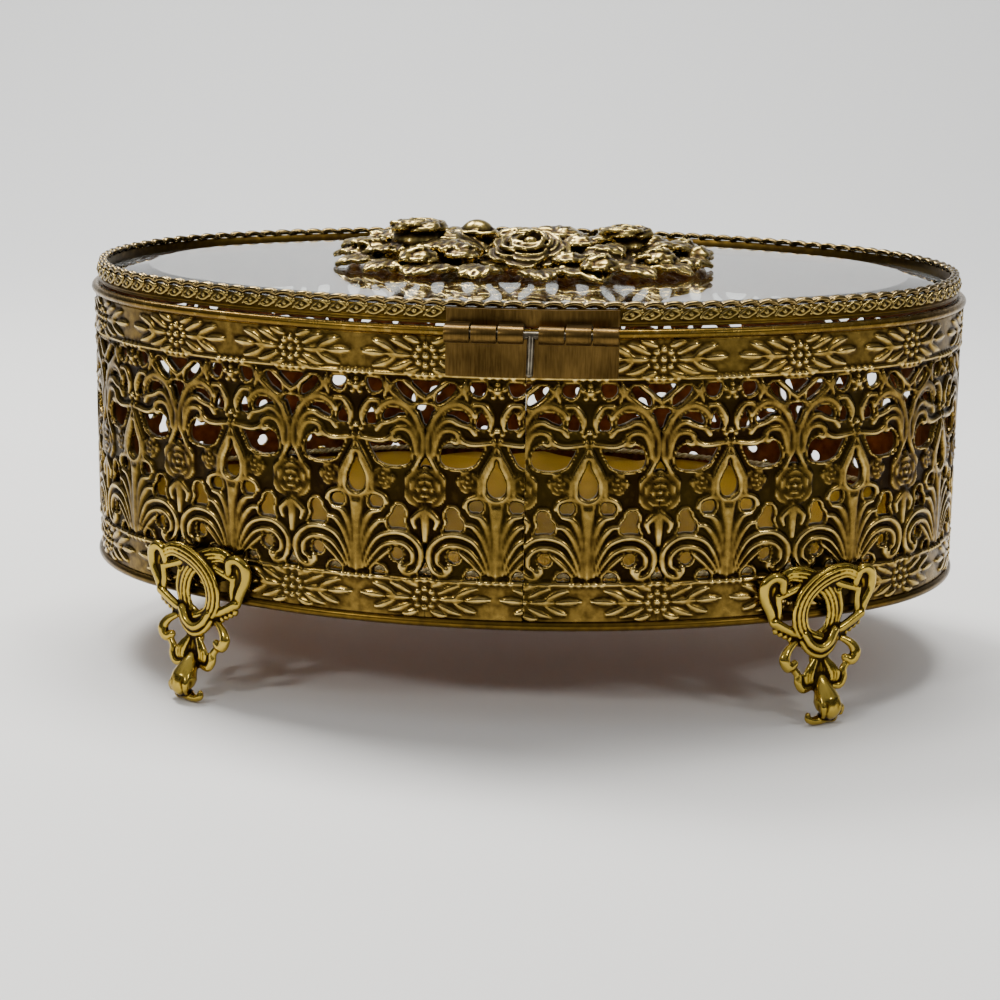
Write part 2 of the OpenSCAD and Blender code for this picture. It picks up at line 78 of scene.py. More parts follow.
@dataclass(frozen=True)
class Oval:
    """An oval of four tangent arcs, like the plan of the casket.

    Distances along it start at the middle of the hinge side and run towards +X.

    Attributes:
        half_length: Half of its length.
        half_width: Half of its width.
        end_radius: Radius of the two end arcs.
    """

    half_length: float
    half_width: float
    end_radius: float = 50.0

    @property
    def end_centre(self) -> float:
        """Distance of the centres of the end arcs from the middle."""
        return self.half_length - self.end_radius

    @property
    def side_radius(self) -> float:
        """Radius of the long arcs."""
        rise = self.half_width - self.end_radius
        return (self.end_centre**2 + self.half_width**2 - self.end_radius**2) / (2 * rise)

    @property
    def side_centre(self) -> float:
        """Distance of the centres of the long arcs from the middle."""
        return self.side_radius - self.half_width

    @property
    def side_angle(self) -> float:
        """Half of the angle that a long arc covers, in radians."""
        return math.atan2(self.end_centre, self.side_centre)

    def length(self, inset: float = 0.0) -> float:
        """Length round the oval at an inset."""
        ends = (self.end_radius - inset) * (math.pi - 2 * self.side_angle)
        return 2 * ends + 4 * (self.side_radius - inset) * self.side_angle

    def angle_at(self, along: Grid, inset: float = 0.0) -> Grid:
        """Angle of the outward normal at distances along the oval.

        Args:
            along: Distances from the middle of the hinge side.
            inset: The inset at which the distances are measured.

        Returns:
            Angles in radians, from -pi/2 to 3*pi/2.
        """
        a = self.side_angle
        side = (self.side_radius - inset) * a
        end = (self.end_radius - inset) * (math.pi - 2 * a)
        stops = np.cumsum([0.0, side, end, 2 * side, end, side])
        angles = np.array([-math.pi / 2, a - math.pi / 2, math.pi / 2 - a, math.pi / 2 + a,
                           1.5 * math.pi - a, 1.5 * math.pi])
        return np.interp(np.mod(along, stops[-1]), stops, angles)

    def place(self, angle: Grid, out: Grid, height: Grid) -> Grid:
        """Points beside the oval.

        Args:
            angle: Angles of the outward normal.
            out: Distances out from the oval.
            height: Heights.

        Returns:
            An array of points in millimetres, last axis x, y, z.
        """
        angle = np.asarray(angle, float)
        a = self.side_angle
        turned = np.mod(angle + math.pi / 2, 2 * math.pi)
        in_end = ((turned > a) & (turned < math.pi - a)) | (
            (turned > math.pi + a) & (turned < 2 * math.pi - a))
        radius = np.where(in_end, self.end_radius, self.side_radius) + out
        east = np.where(in_end, np.sign(np.cos(angle)) * self.end_centre, 0.0)
        north = np.where(in_end, 0.0, -np.sign(np.sin(angle)) * self.side_centre)
        return np.stack([east + radius * np.cos(angle), north + radius * np.sin(angle),
                         np.broadcast_to(height, radius.shape)], axis=-1)


def spline(points: Points, steps: int, closed: bool = False) -> Grid:
    """A smooth curve through points (Catmull-Rom).

    Args:
        points: The points to pass through, of any dimension.
        steps: Samples for each stretch.
        closed: Whether the curve returns to its start.

    Returns:
        The samples, one row each.
    """
    p = np.asarray(points, float)
    if closed:
        p = np.vstack([p[-1], p, p[0], p[1]])
    else:
        p = np.vstack([2 * p[0] - p[1], p, 2 * p[-1] - p[-2]])
    t = np.linspace(0, 1, steps, endpoint=False)[:, None]
    rows = []
    for a, b, c, d in zip(p[:-3], p[1:-2], p[2:-1], p[3:]):
        rows.append(0.5 * (2 * b + (c - a) * t + (2 * a - 5 * b + 4 * c - d) * t**2
                           + (3 * b - a - 3 * c + d) * t**3))
    if not closed:
        rows.append(p[-2][None])
    return np.vstack(rows)


def new_mesh(name: str, points: Grid, faces: Iterable[Sequence[int]],
             smooth: bool = True) -> bpy.types.Mesh:
    """Makes a mesh from points in millimetres.

    Args:
        name: Name of the mesh.
        points: Vertices in millimetres.
        faces: Vertex numbers of each face.
        smooth: Whether the faces are shaded smooth.

    Returns:
        The mesh, in metres.
    """
    mesh = bpy.data.meshes.new(name)
    faces = faces.tolist() if isinstance(faces, np.ndarray) else [list(f) for f in faces]
    mesh.from_pydata((np.asarray(points, float) * MM).tolist(), [], faces)
    mesh.polygons.foreach_set("use_smooth", [smooth] * len(mesh.polygons))
    mesh.validate()
    return mesh


def new_object(name: str, mesh: bpy.types.Mesh) -> Piece:
    """Links a mesh into the scene as an object at the origin."""
    obj = bpy.data.objects.new(name, mesh)
    bpy.context.scene.collection.objects.link(obj)
    return obj


@dataclass
class Shell:
    """Points and faces that are gathered from several closed shapes."""

    points: list[Grid] = field(default_factory=list)
    faces: list[list[int]] = field(default_factory=list)
    count: int = 0

    def add(self, points: Grid, faces: Iterable[Sequence[int]]) -> None:
        """Adds one shape."""
        self.points.append(np.asarray(points, float))
        self.faces.extend([[i + self.count for i in f] for f in faces])
        self.count += len(points)

    def tube(self, path: Grid, radii: Sequence[float] | float, sides: int,
             flat: float = 1.0, across: Sequence[float] | None = None) -> None:
        """Adds a closed tube with rounded ends.

        Args:
            path: The middle line, rows of x, y, z.
            radii: Radius along the path, spread evenly.
            sides: Sides of the tube.
            flat: Thickness over width of the section.
            across: Direction of the thin side of a flat tube.
        """
        path = np.asarray(path, float)
        n = len(path)
        radii = np.interp(np.linspace(0, 1, n), np.linspace(0, 1, np.size(radii)),
                          np.atleast_1d(radii))
        along = np.gradient(path, axis=0)
        along /= np.linalg.norm(along, axis=1)[:, None] + 1e-9
        thin = np.array(across if across is not None else (0.12, 0.23, 0.97), float)
        wide = np.cross(along, thin)
        for k in range(1, n):
            if wide[k] @ wide[k - 1] < 0:
                wide[k] = -wide[k]
        wide /= np.linalg.norm(wide, axis=1)[:, None] + 1e-9
        up = np.cross(wide, along)
        cap = np.array([-0.95, -0.7, -0.35])
        ring_at = np.concatenate([np.zeros(3, int), np.arange(n), np.full(3, n - 1)])
        shift = np.concatenate([cap, np.zeros(n), -cap[::-1]])
        scale = np.sqrt(1 - shift**2)
        turn = np.linspace(0, 2 * math.pi, sides, endpoint=False)
        rings = []
        for k, s, g in zip(ring_at, shift, scale):
            r = radii[k]
            centre = path[k] + along[k] * s * r * min(1.0, flat * 1.3)
            rings.append(centre + r * g * (np.cos(turn)[:, None] * wide[k]
                                           + flat * np.sin(turn)[:, None] * up[k]))
        m = len(rings)
        faces = [[i * sides + j, i * sides + (j + 1) % sides,
                  (i + 1) * sides + (j + 1) % sides, (i + 1) * sides + j]
                 for i in range(m - 1) for j in range(sides)]
        faces.append(list(range(sides))[::-1])
        faces.append([(m - 1) * sides + j for j in range(sides)])
        self.add(np.vstack(rings), faces)

    def ball(self, centre: Sequence[float], radii: Sequence[float] | float,
             sides: int, rings: int) -> None:
        """Adds a ball or an egg.

        Args:
            centre: Its middle.
            radii: Radius, or the three half-axes.
            sides: Sides round it.
            rings: Rings from pole to pole.
        """
        radii = np.broadcast_to(np.asarray(radii, float), 3)
        turn = np.linspace(0, 2 * math.pi, sides, endpoint=False)
        tilt = np.linspace(-math.pi / 2, math.pi / 2, rings + 1)[1:-1]
        body = np.array([[math.cos(t) * math.cos(a), math.cos(t) * math.sin(a), math.sin(t)]
                         for t in tilt for a in turn])
        points = np.vstack([body, [[0, 0, -1], [0, 0, 1]]]) * radii + centre
        m = len(tilt)
        faces = [[i * sides + j, i * sides + (j + 1) % sides,
                  (i + 1) * sides + (j + 1) % sides, (i + 1) * sides + j]
                 for i in range(m - 1) for j in range(sides)]
        low, high = m * sides, m * sides + 1
        faces += [[low, (j + 1) % sides, j] for j in range(sides)]
        faces += [[high, (m - 1) * sides + j, (m - 1) * sides + (j + 1) % sides]
                  for j in range(sides)]
        self.add(points, faces)

    def sheet(self, front: Grid, thickness: float) -> None:
        """Adds a closed sheet that follows a grid of points.

        Args:
            front: Points of the front, rows by columns by three.
            thickness: Thickness behind the front.
        """
        rows, cols = front.shape[:2]
        du, dv = np.gradient(front, axis=(0, 1))
        normal = np.cross(du, dv)
        normal /= np.linalg.norm(normal, axis=2)[..., None] + 1e-9
        back = front - normal * thickness
        n = rows * cols
        index = np.arange(n).reshape(rows, cols)
        a, b, c, d = index[:-1, :-1], index[1:, :-1], index[1:, 1:], index[:-1, 1:]
        quads = np.stack([a, b, c, d], -1).reshape(-1, 4)
        faces = quads.tolist() + (quads[:, ::-1] + n).tolist()
        rim = np.concatenate([index[:, 0], index[-1, 1:], index[-2::-1, -1], index[0, -2:0:-1]])
        for i, j in zip(rim, np.roll(rim, -1)):
            faces.append([int(j), int(i), int(i) + n, int(j) + n])
        self.add(np.vstack([front.reshape(-1, 3), back.reshape(-1, 3)]), faces)

    def moved(self, move: Callable[[Grid], Grid]) -> "Shell":
        """A copy whose points have been through a function."""
        copy = Shell(faces=[list(f) for f in self.faces], count=self.count)
        copy.points = [move(np.vstack(self.points))]
        return copy

    def mesh(self, name: str) -> bpy.types.Mesh:
        """The mesh of all the shapes."""
        return new_mesh(name, np.vstack(self.points), self.faces)


def settle(obj: Piece, name: str) -> bpy.types.Mesh:
    """Works out an object's modifiers and leaves it with the plain mesh, which is returned."""
    graph = bpy.context.evaluated_depsgraph_get()
    mesh = bpy.data.meshes.new_from_object(obj.evaluated_get(graph), depsgraph=graph)
    mesh.name = name
    obj.modifiers.clear()
    obj.data = mesh
    return mesh


def fused(name: str, shell: Shell, voxel: float) -> Piece:
    """Fuses overlapping shapes into one cast skin.

    Args:
        name: Name of the object.
        shell: The overlapping closed shapes.
        voxel: Size of the cells of the remesh, in millimetres.

    Returns:
        The object.
    """
    obj = new_object(name, shell.mesh(name))
    remesh = obj.modifiers.new("fuse", "REMESH")
    remesh.mode = "VOXEL"
    remesh.voxel_size = voxel * MM
    remesh.use_smooth_shade = True
    soften = obj.modifiers.new("soften", "SMOOTH")
    soften.factor = 0.5
    soften.iterations = 1
    old = obj.data
    settle(obj, name)
    bpy.data.meshes.remove(old)
    return obj


def add_wear_and_shading(mesh: bpy.types.Mesh, reach: int, gain: float) -> None:
    """Stores how sheltered each point is, as a point attribute that stands for wear and for
    painted shading.

    The value is 0.5 on flat metal. It goes towards 0 in hollows, which the gilt finishes colour
    as patina with painted shade, and towards 1 on edges, which they colour as rubbed gilt with
    painted highlights.

    Args:
        mesh: The mesh.
        reach: Rounds of averaging, which widen the hollows and edges.
        gain: Strength of the difference.
    """
    n = len(mesh.vertices)
    points = np.empty(n * 3, np.float32)
    mesh.vertices.foreach_get("co", points)
    points = points.reshape(-1, 3).astype(float)
    normals = np.empty(n * 3, np.float32)
    mesh.vertices.foreach_get("normal", normals)
    normals = normals.reshape(-1, 3)
    edges = np.empty(len(mesh.edges) * 2, np.int32)
    mesh.edges.foreach_get("vertices", edges)
    a, b = edges.reshape(-1, 2).T
    degree = np.maximum(np.bincount(a, minlength=n) + np.bincount(b, minlength=n), 1)

    def average(values: Grid) -> Grid:
        """Mean of the values at each point's neighbours."""
        total = np.bincount(a, values[b], n) + np.bincount(b, values[a], n)
        return total / degree

    mean = np.stack([average(points[:, k]) for k in range(3)], axis=1)
    span = average(np.linalg.norm(points - mean, axis=1)) + 1e-7
    span = np.maximum(span, np.median(span))
    bend = -((mean - points) * normals).sum(1)
    value = bend / np.percentile(np.abs(bend) + 1e-12, 92)
    total = value.copy()
    for _ in range(reach):
        value = average(value)
        total = total + 1.5 * value
    # Low values give patina with painted shade in hollows; high values give rubbed gilt with
    # painted highlights on edges.
    wear = np.clip(0.5 + 0.22 * gain * total, 0, 1)
    layer = mesh.attributes.new("wear", "FLOAT", "POINT")
    layer.data.foreach_set("value", wear.astype(np.float32))


# --- Finishes ---


class NodeBench:
    """Builds the nodes of one material."""

    def __init__(self, name: str) -> None:
        """Starts a material with a Principled shader."""
        self.material = bpy.data.materials.new(name)
        self.material.use_nodes = True
        self.tree = self.material.node_tree
        self.shader = self.tree.nodes["Principled BSDF"]

    def add(self, kind: str, **values: object) -> bpy.types.Node:
        """Adds a node and sets its properties and inputs.

        Args:
            kind: The node's type, without its ShaderNode prefix.
            **values: Property names, or input names with spaces as underscores.

        Returns:
            The node.
        """
        node = self.tree.nodes.new("ShaderNode" + kind)
        for key, value in values.items():
            if hasattr(node, key):
                setattr(node, key, value)
            else:
                node.inputs[key.replace("_", " ")].default_value = value
        return node

    def join(self, source: Socket, target: Socket) -> None:
        """Links two sockets."""
        self.tree.links.new(source, target)

    def maths(self, operation: str, a: object, b: object) -> Socket:
        """A sum, product or other operation on two values or sockets."""
        node = self.add("Math", operation=operation)
        for socket, value in zip(node.inputs, (a, b)):
            if isinstance(value, Socket):
                self.join(value, socket)
            else:
                socket.default_value = value
        return node.outputs[0]

    def ramp(self, value: Socket,
             stops: Sequence[tuple[float, Sequence[float]]]) -> Socket:
        """A colour ramp with stops of position and colour."""
        node = self.add("ValToRGB")
        elements = node.color_ramp.elements
        while len(elements) < len(stops):
            elements.new(0.5)
        for element, (position, colour) in zip(elements, stops):
            element.position = position
            element.color = (*colour, 1.0)
        self.join(value, node.inputs[0])
        return node.outputs[0]

    def mixed(self, share: object, a: object, b: object) -> Socket:
        """A mix of two colours."""
        node = self.add("Mix", data_type="RGBA")
        for index, value in ((0, share), (6, a), (7, b)):
            if isinstance(value, Socket):
                self.join(value, node.inputs[index])
            else:
                node.inputs[index].default_value = value
        return node.outputs[2]

    def place(self, scale: Sequence[float]) -> Socket:
        """Object coordinates, stretched along each axis."""
        where = self.add("TexCoord")
        mapping = self.add("Mapping")
        mapping.inputs["Scale"].default_value = scale
        self.join(where.outputs["Object"], mapping.inputs["Vector"])
        return mapping.outputs[0]

    def noise(self, scale: float, detail: float,
              stretch: Sequence[float] = (1, 1, 1)) -> Socket:
        """Noise on object coordinates, as a value from 0 to 1."""
        node = self.add("TexNoise", Scale=scale, Detail=detail)
        self.join(self.place(stretch), node.inputs["Vector"])
        return node.outputs["Fac"]

    def bump(self, height: Socket, strength: float, distance: float) -> None:
        """Gives the shader a bump, whose distance is in millimetres."""
        node = self.add("Bump", Strength=strength, Distance=distance * MM)
        self.join(height, node.inputs["Height"])
        self.join(node.outputs[0], self.shader.inputs["Normal"])


class Finish:
    """A finish that makes its material once."""

    def material(self) -> bpy.types.Material:
        """The material, made on first use."""
        name = "look_" + self.name
        return bpy.data.materials.get(name) or self.build(NodeBench(name))

    def build(self, bench: NodeBench) -> bpy.types.Material:
        """Builds the nodes."""
        raise NotImplementedError


@dataclass(frozen=True)
class AntiqueGilt(Finish):
    """Worn gilding: dark in the hollows from patina and painted shade, bright on the edges from
    rubbed gilt and painted highlights.
    """

    name: str
    dark: Colour = (0.014, 0.007, 0.002)
    shade: Colour = (0.060, 0.034, 0.007)
    body: Colour = (0.25, 0.158, 0.034)
    bright: Colour = (0.92, 0.68, 0.24)
    tarnish: Colour = (0.06, 0.042, 0.006)
    tarnish_share: float = 0.35
    rough_low: float = 0.16
    rough_high: float = 0.46

    def build(self, bench: NodeBench) -> bpy.types.Material:
        """Builds the nodes."""
        # The attribute darkens hollows with patina and painted shade and lightens edges with
        # rubbed gilt and painted highlights; dark, shade, body and bright are the ramp's colours
        # for it.
        wear = bench.add("Attribute", attribute_name="wear").outputs["Fac"]
        fine = bench.noise(620, 4)
        mottled_shading = bench.maths("ADD", wear, bench.maths("MULTIPLY", bench.maths(
            "SUBTRACT", fine, 0.5), 0.34))
        gold = bench.ramp(mottled_shading, [(0.18, self.dark), (0.40, self.shade),
                                    (0.60, self.body), (0.93, self.bright)])
        broad = bench.ramp(bench.noise(55, 3), [(0.42, (0, 0, 0)), (0.68, (1, 1, 1))])
        share = bench.maths("MULTIPLY", broad, self.tarnish_share)
        colour = bench.mixed(share, gold, (*self.tarnish, 1.0))
        bench.join(colour, bench.shader.inputs["Base Color"])
        rough = bench.ramp(mottled_shading, [(0.2, (self.rough_high,) * 3),
                                     (0.75, (self.rough_low,) * 3)])
        bench.join(rough, bench.shader.inputs["Roughness"])
        bench.shader.inputs["Metallic"].default_value = 1.0
        bench.bump(bench.noise(1700, 3), 0.25, 0.05)
        return bench.material


@dataclass(frozen=True)
class BrushedBrass(Finish):
    """Dull brass with fine upright scratches."""

    name: str
    low: Colour = (0.052, 0.029, 0.007)
    high: Colour = (0.15, 0.088, 0.024)

    def build(self, bench: NodeBench) -> bpy.types.Material:
        """Builds the nodes."""
        lines = bench.noise(2600, 3, (1.0, 1.0, 0.1))
        cloud = bench.noise(130, 3)
        value = bench.maths("ADD", bench.maths("MULTIPLY", lines, 0.45),
                            bench.maths("MULTIPLY", cloud, 0.55))
        bench.join(bench.ramp(value, [(0.34, self.low), (0.66, self.high)]),
                   bench.shader.inputs["Base Color"])
        bench.join(bench.ramp(value, [(0.3, (0.46,) * 3), (0.7, (0.26,) * 3)]),
                   bench.shader.inputs["Roughness"])
        bench.shader.inputs["Metallic"].default_value = 1.0
        bench.bump(lines, 0.5, 0.06)
        return bench.material


@dataclass(frozen=True)
class Satin(Finish):
    """Closely woven satin with a fine ribbed grain."""

    name: str
    low: Colour = (0.17, 0.088, 0.0)
    high: Colour = (0.26, 0.138, 0.0)
    thread: float = 0.32

    def build(self, bench: NodeBench) -> bpy.types.Material:
        """Builds the nodes."""
        waves = []
        for axis in ("X", "Y"):
            wave = bench.add("TexWave", bands_direction=axis, Distortion=0.6, Detail=2.0)
            wave.inputs["Scale"].default_value = 1 / (self.thread * MM) / 3.2
            wave.inputs["Detail Scale"].default_value = 1.5
            bench.join(bench.place((1, 1, 1)), wave.inputs["Vector"])
            waves.append(wave.outputs["Fac"])
        weave = bench.maths("MAXIMUM", *waves)
        cloud = bench.noise(70, 3)
        value = bench.maths("ADD", bench.maths("MULTIPLY", cloud, 0.7),
                            bench.maths("MULTIPLY", weave, 0.3))
        bench.join(bench.ramp(value, [(0.3, self.low), (0.75, self.high)]),
                   bench.shader.inputs["Base Color"])
        bench.shader.inputs["Roughness"].default_value = 0.55
        bench.shader.inputs["Specular IOR Level"].default_value = 0.12
        bench.bump(weave, 0.3, 0.08)
        return bench.material


@dataclass(frozen=True)
class ClearGlass(Finish):
    """Clear polished glass."""

    name: str
    tint: Colour = (0.90, 0.925, 0.91)

    def build(self, bench: NodeBench) -> bpy.types.Material:
        """Builds the nodes."""
        bench.shader.inputs["Base Color"].default_value = (*self.tint, 1.0)
        bench.shader.inputs["Transmission Weight"].default_value = 1.0
        bench.shader.inputs["IOR"].default_value = 1.5
        smear = bench.ramp(bench.noise(60, 4), [(0.45, (0.0,) * 3), (0.9, (0.06,) * 3)])
        bench.join(smear, bench.shader.inputs["Roughness"])
        return bench.material


@dataclass(frozen=True)
class Plain(Finish):
    """A dull surface whose colour varies a little."""

    name: str
    low: Colour
    high: Colour
    rough: float = 0.7
    metal: float = 0.0
    grain: float = 400.0

    def build(self, bench: NodeBench) -> bpy.types.Material:
        """Builds the nodes."""
        grain = bench.noise(self.grain, 4)
        bench.join(bench.ramp(grain, [(0.35, self.low), (0.65, self.high)]),
                   bench.shader.inputs["Base Color"])
        bench.shader.inputs["Roughness"].default_value = self.rough
        bench.shader.inputs["Metallic"].default_value = self.metal
        bench.bump(grain, 0.2, 0.05)
        return bench.material


FILIGREE_GILT = AntiqueGilt("filigree_gilt")
RIM_GILT = AntiqueGilt("rim_gilt", body=(0.17, 0.098, 0.014), tarnish_share=0.6, rough_low=0.2)
CAST_GILT = AntiqueGilt("cast_gilt", shade=(0.10, 0.052, 0.006), body=(0.23, 0.145, 0.013),
                        bright=(0.50, 0.35, 0.06), rough_low=0.2)
BOUQUET_GILT = AntiqueGilt("bouquet_gilt", shade=(0.07, 0.040, 0.010),
                           body=(0.10, 0.066, 0.017), bright=(0.42, 0.31, 0.09),
                           tarnish=(0.05, 0.036, 0.014), tarnish_share=0.5,
                           rough_low=0.22)
CREST_GILT = AntiqueGilt("crest_gilt", shade=(0.04, 0.024, 0.008), body=(0.11, 0.072, 0.02),
                         bright=(0.27, 0.19, 0.07), tarnish=(0.04, 0.03, 0.012),
                         tarnish_share=0.5)
LINK_GILT = AntiqueGilt("link_gilt", shade=(0.06, 0.036, 0.008), body=(0.13, 0.083, 0.017),
                        bright=(0.36, 0.26, 0.08), tarnish_share=0.5, rough_low=0.24)
BARE_BACK = Plain("bare_back", (0.16, 0.055, 0.02), (0.30, 0.12, 0.045), 0.42, 0.85)
HINGE_BRASS = BrushedBrass("hinge_brass")
PIN_METAL = Plain("pin_metal", (0.09, 0.075, 0.05), (0.20, 0.17, 0.12), 0.35, 1.0, 700)
LINING_SATIN = Satin("lining_satin")
TRIM_THREAD = Plain("trim_thread", (0.42, 0.32, 0.13), (0.62, 0.50, 0.26), 0.6, 0.0, 900)
BOARD_PAPER = Plain("board_paper", (0.2, 0.15, 0.08), (0.28, 0.22, 0.13), 0.85)
FIBRE = Plain("fibre", (0.03, 0.025, 0.02), (0.07, 0.055, 0.045), 0.8)
GLASS = ClearGlass("clear_glass")


def heights(node: str) -> list[float]:
    """Heights of the bottom and the top of one of the frame's nodes, in millimetres."""
    return [float(corner[2]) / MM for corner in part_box(node)]


def middle_of_oval() -> float:
    """Distance along +Y from the origin to the middle of the oval, in metres."""
    low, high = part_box("filigree_wall")
    return float(low[1] + high[1]) / 2


def dress(obj: Piece, body: str, slot: str, *finishes: Finish,
          replaces: Sequence[str] = ()) -> Piece:
    """Moves a piece from the oval's frame to the row frame, gives it its finishes and its body,
    and hides the nodes that it stands for.

    Args:
        obj: The piece.
        body: The body that it moves with.
        slot: Name of a material slot; not used.
        *finishes: Its finishes. Those that the mesh already holds are kept.
        replaces: The frame's nodes that it stands for.

    Returns:
        The piece.
    """
    obj.data.transform(Matrix.Translation((0.0, middle_of_oval(), 0.0)))
    for finish in finishes:
        if finish.material().name not in obj.data.materials:
            obj.data.materials.append(finish.material())
    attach(obj, body)
    if replaces:
        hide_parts(*replaces)
    LOG.info("%s: %d faces on %s", obj.name, len(obj.data.polygons), body)
    return obj


# --- Node trees ---


class WrapTree:
    """A Geometry Nodes tree that repeats a flat repeat round a path.

    The repeat lies with X along the path, Y out from it and Z up.
    """

    def __init__(self) -> None:
        """Builds the tree."""
        self.tree = bpy.data.node_groups.new("wrap_round", "GeometryNodeTree")
        face = self.tree.interface
        for name, kind in (("Repeat", "Geometry"), ("Count", "Int"), ("First", "Float"),
                           ("Pitch", "Float"), ("Path", "Object"), ("Metal", "Material"),
                           ("Back metal", "Material")):
            face.new_socket(name, in_out="INPUT", socket_type="NodeSocket" + kind)
        face.new_socket("Geometry", in_out="OUTPUT", socket_type="NodeSocketGeometry")
        self._build()

    def _node(self, kind: str, **settings: object) -> bpy.types.Node:
        """Adds a node and sets its properties."""
        node = self.tree.nodes.new(kind)
        for key, value in settings.items():
            setattr(node, key, value)
        return node

    def _maths(self, operation: str, a: Socket,
               b: Socket | Sequence[float]) -> Socket:
        """A vector operation."""
        node = self._node("ShaderNodeVectorMath", operation=operation)
        self.tree.links.new(a, node.inputs[0])
        target = node.inputs["Scale"] if operation == "SCALE" else node.inputs[1]
        if isinstance(b, Socket):
            self.tree.links.new(b, target)
        else:
            target.default_value = b
        return node.outputs[0]

    def _build(self) -> None:
        """Joins the nodes: row of points, repeats, real mesh, bend, materials."""
        link = self.tree.links.new
        given = self._node("NodeGroupInput").outputs
        start = self._node("ShaderNodeCombineXYZ")
        step = self._node("ShaderNodeCombineXYZ")
        link(given["First"], start.inputs[0])
        link(given["Pitch"], step.inputs[0])
        row = self._node("GeometryNodeMeshLine", mode="OFFSET")
        link(given["Count"], row.inputs["Count"])
        link(start.outputs[0], row.inputs["Start Location"])
        link(step.outputs[0], row.inputs["Offset"])
        copies = self._node("GeometryNodeInstanceOnPoints")
        link(row.outputs[0], copies.inputs["Points"])
        link(given["Repeat"], copies.inputs["Instance"])
        real = self._node("GeometryNodeRealizeInstances")
        link(copies.outputs[0], real.inputs[0])
        merged = self._node("GeometryNodeMergeByDistance")
        merged.inputs["Distance"].default_value = 2e-6
        link(real.outputs[0], merged.inputs[0])
        parts = self._node("ShaderNodeSeparateXYZ")
        link(self._node("GeometryNodeInputPosition").outputs[0], parts.inputs[0])
        path = self._node("GeometryNodeObjectInfo")
        link(given["Path"], path.inputs["Object"])
        sample = self._node("GeometryNodeSampleCurve", mode="LENGTH", use_all_curves=True)
        link(path.outputs["Geometry"], sample.inputs["Curves"])
        link(parts.outputs[0], sample.inputs["Length"])
        outward = self._maths("NORMALIZE", self._maths(
            "CROSS_PRODUCT", sample.outputs["Tangent"], (0, 0, 1)), (0, 0, 0))
        out = self._maths("SCALE", outward, parts.outputs[1])
        rise = self._node("ShaderNodeCombineXYZ")
        link(parts.outputs[2], rise.inputs[2])
        where = self._maths("ADD", self._maths("ADD", sample.outputs["Position"], out),
                            rise.outputs[0])
        bend = self._node("GeometryNodeSetPosition")
        link(merged.outputs[0], bend.inputs["Geometry"])
        link(where, bend.inputs["Position"])
        metal = self._node("GeometryNodeSetMaterial")
        link(bend.outputs[0], metal.inputs["Geometry"])
        link(given["Metal"], metal.inputs["Material"])
        inner = self._node("GeometryNodeInputNamedAttribute", data_type="FLOAT")
        inner.inputs["Name"].default_value = "behind"
        chosen = self._node("FunctionNodeCompare", data_type="FLOAT",
                            operation="GREATER_THAN")
        chosen.inputs[1].default_value = 0.5
        link(inner.outputs["Attribute"], chosen.inputs[0])
        back = self._node("GeometryNodeSetMaterial")
        link(metal.outputs[0], back.inputs["Geometry"])
        link(chosen.outputs[0], back.inputs["Selection"])
        link(given["Back metal"], back.inputs["Material"])
        link(back.outputs[0], self._node("NodeGroupOutput").inputs[0])

    def wrap(self, name: str, repeat: bpy.types.Mesh, path: Piece, count: int,
             first: float, pitch: float, metal: Finish, back: Finish | None = None,
             closed: bool = False) -> Piece:
        """Repeats a mesh along the path and makes the result a plain mesh.

        Args:
            name: Name of the new object.
            repeat: The flat repeat.
            path: The path.
            count: Number of repeats.
            first: Distance along the path of the first, in millimetres.
            pitch: Distance between repeats, in millimetres.
            metal: Finish of the front.
            back: Finish of the faces marked as behind.
            closed: Whether open ends are closed afterwards.

        Returns:
            The object.
        """
        obj = new_object(name, repeat)
        modifier = obj.modifiers.new("wrap", "NODES")
        modifier.node_group = self.tree
        values = {"Count": count, "First": first * MM, "Pitch": pitch * MM, "Path": path,
                  "Metal": metal.material(), "Back metal": (back or metal).material()}
        for item in self.tree.interface.items_tree:
            if item.item_type == "SOCKET" and item.in_out == "INPUT" and item.name in values:
                modifier[item.identifier] = values[item.name]
        mesh = settle(obj, name)
        if closed:
            close_ends(mesh)
        return obj


def close_ends(mesh: bpy.types.Mesh) -> None:
    """Closes the open edges of a mesh with flat faces."""
    work = bmesh.new()
    work.from_mesh(mesh)
    edges = [e for e in work.edges if e.is_boundary]
    bmesh.ops.holes_fill(work, edges=edges, sides=0)
    work.to_mesh(mesh)
    work.free()


def oval_path(name: str, oval: Oval, inset: float, start: float) -> Piece:
    """A closed curve round the oval at an inset.

    Args:
        name: Name of the curve.
        oval: The oval.
        inset: Distance in from the oval.
        start: Distance along the oval at which the curve starts.

    Returns:
        The curve object. It is removed when the wraps are done.
    """
    steps = 1440
    along = start + np.arange(steps) * oval.length(inset) / steps
    points = oval.place(oval.angle_at(along, inset), -inset, 0.0) * MM
    curve = bpy.data.curves.new(name, "CURVE")
    curve.dimensions = "3D"
    line = curve.splines.new("POLY")
    line.points.add(steps - 1)
    line.points.foreach_set("co", np.hstack([points, np.ones((steps, 1))]).ravel())
    line.use_cyclic_u = True
    obj = bpy.data.objects.new(name, curve)
    bpy.context.scene.collection.objects.link(obj)
    return obj


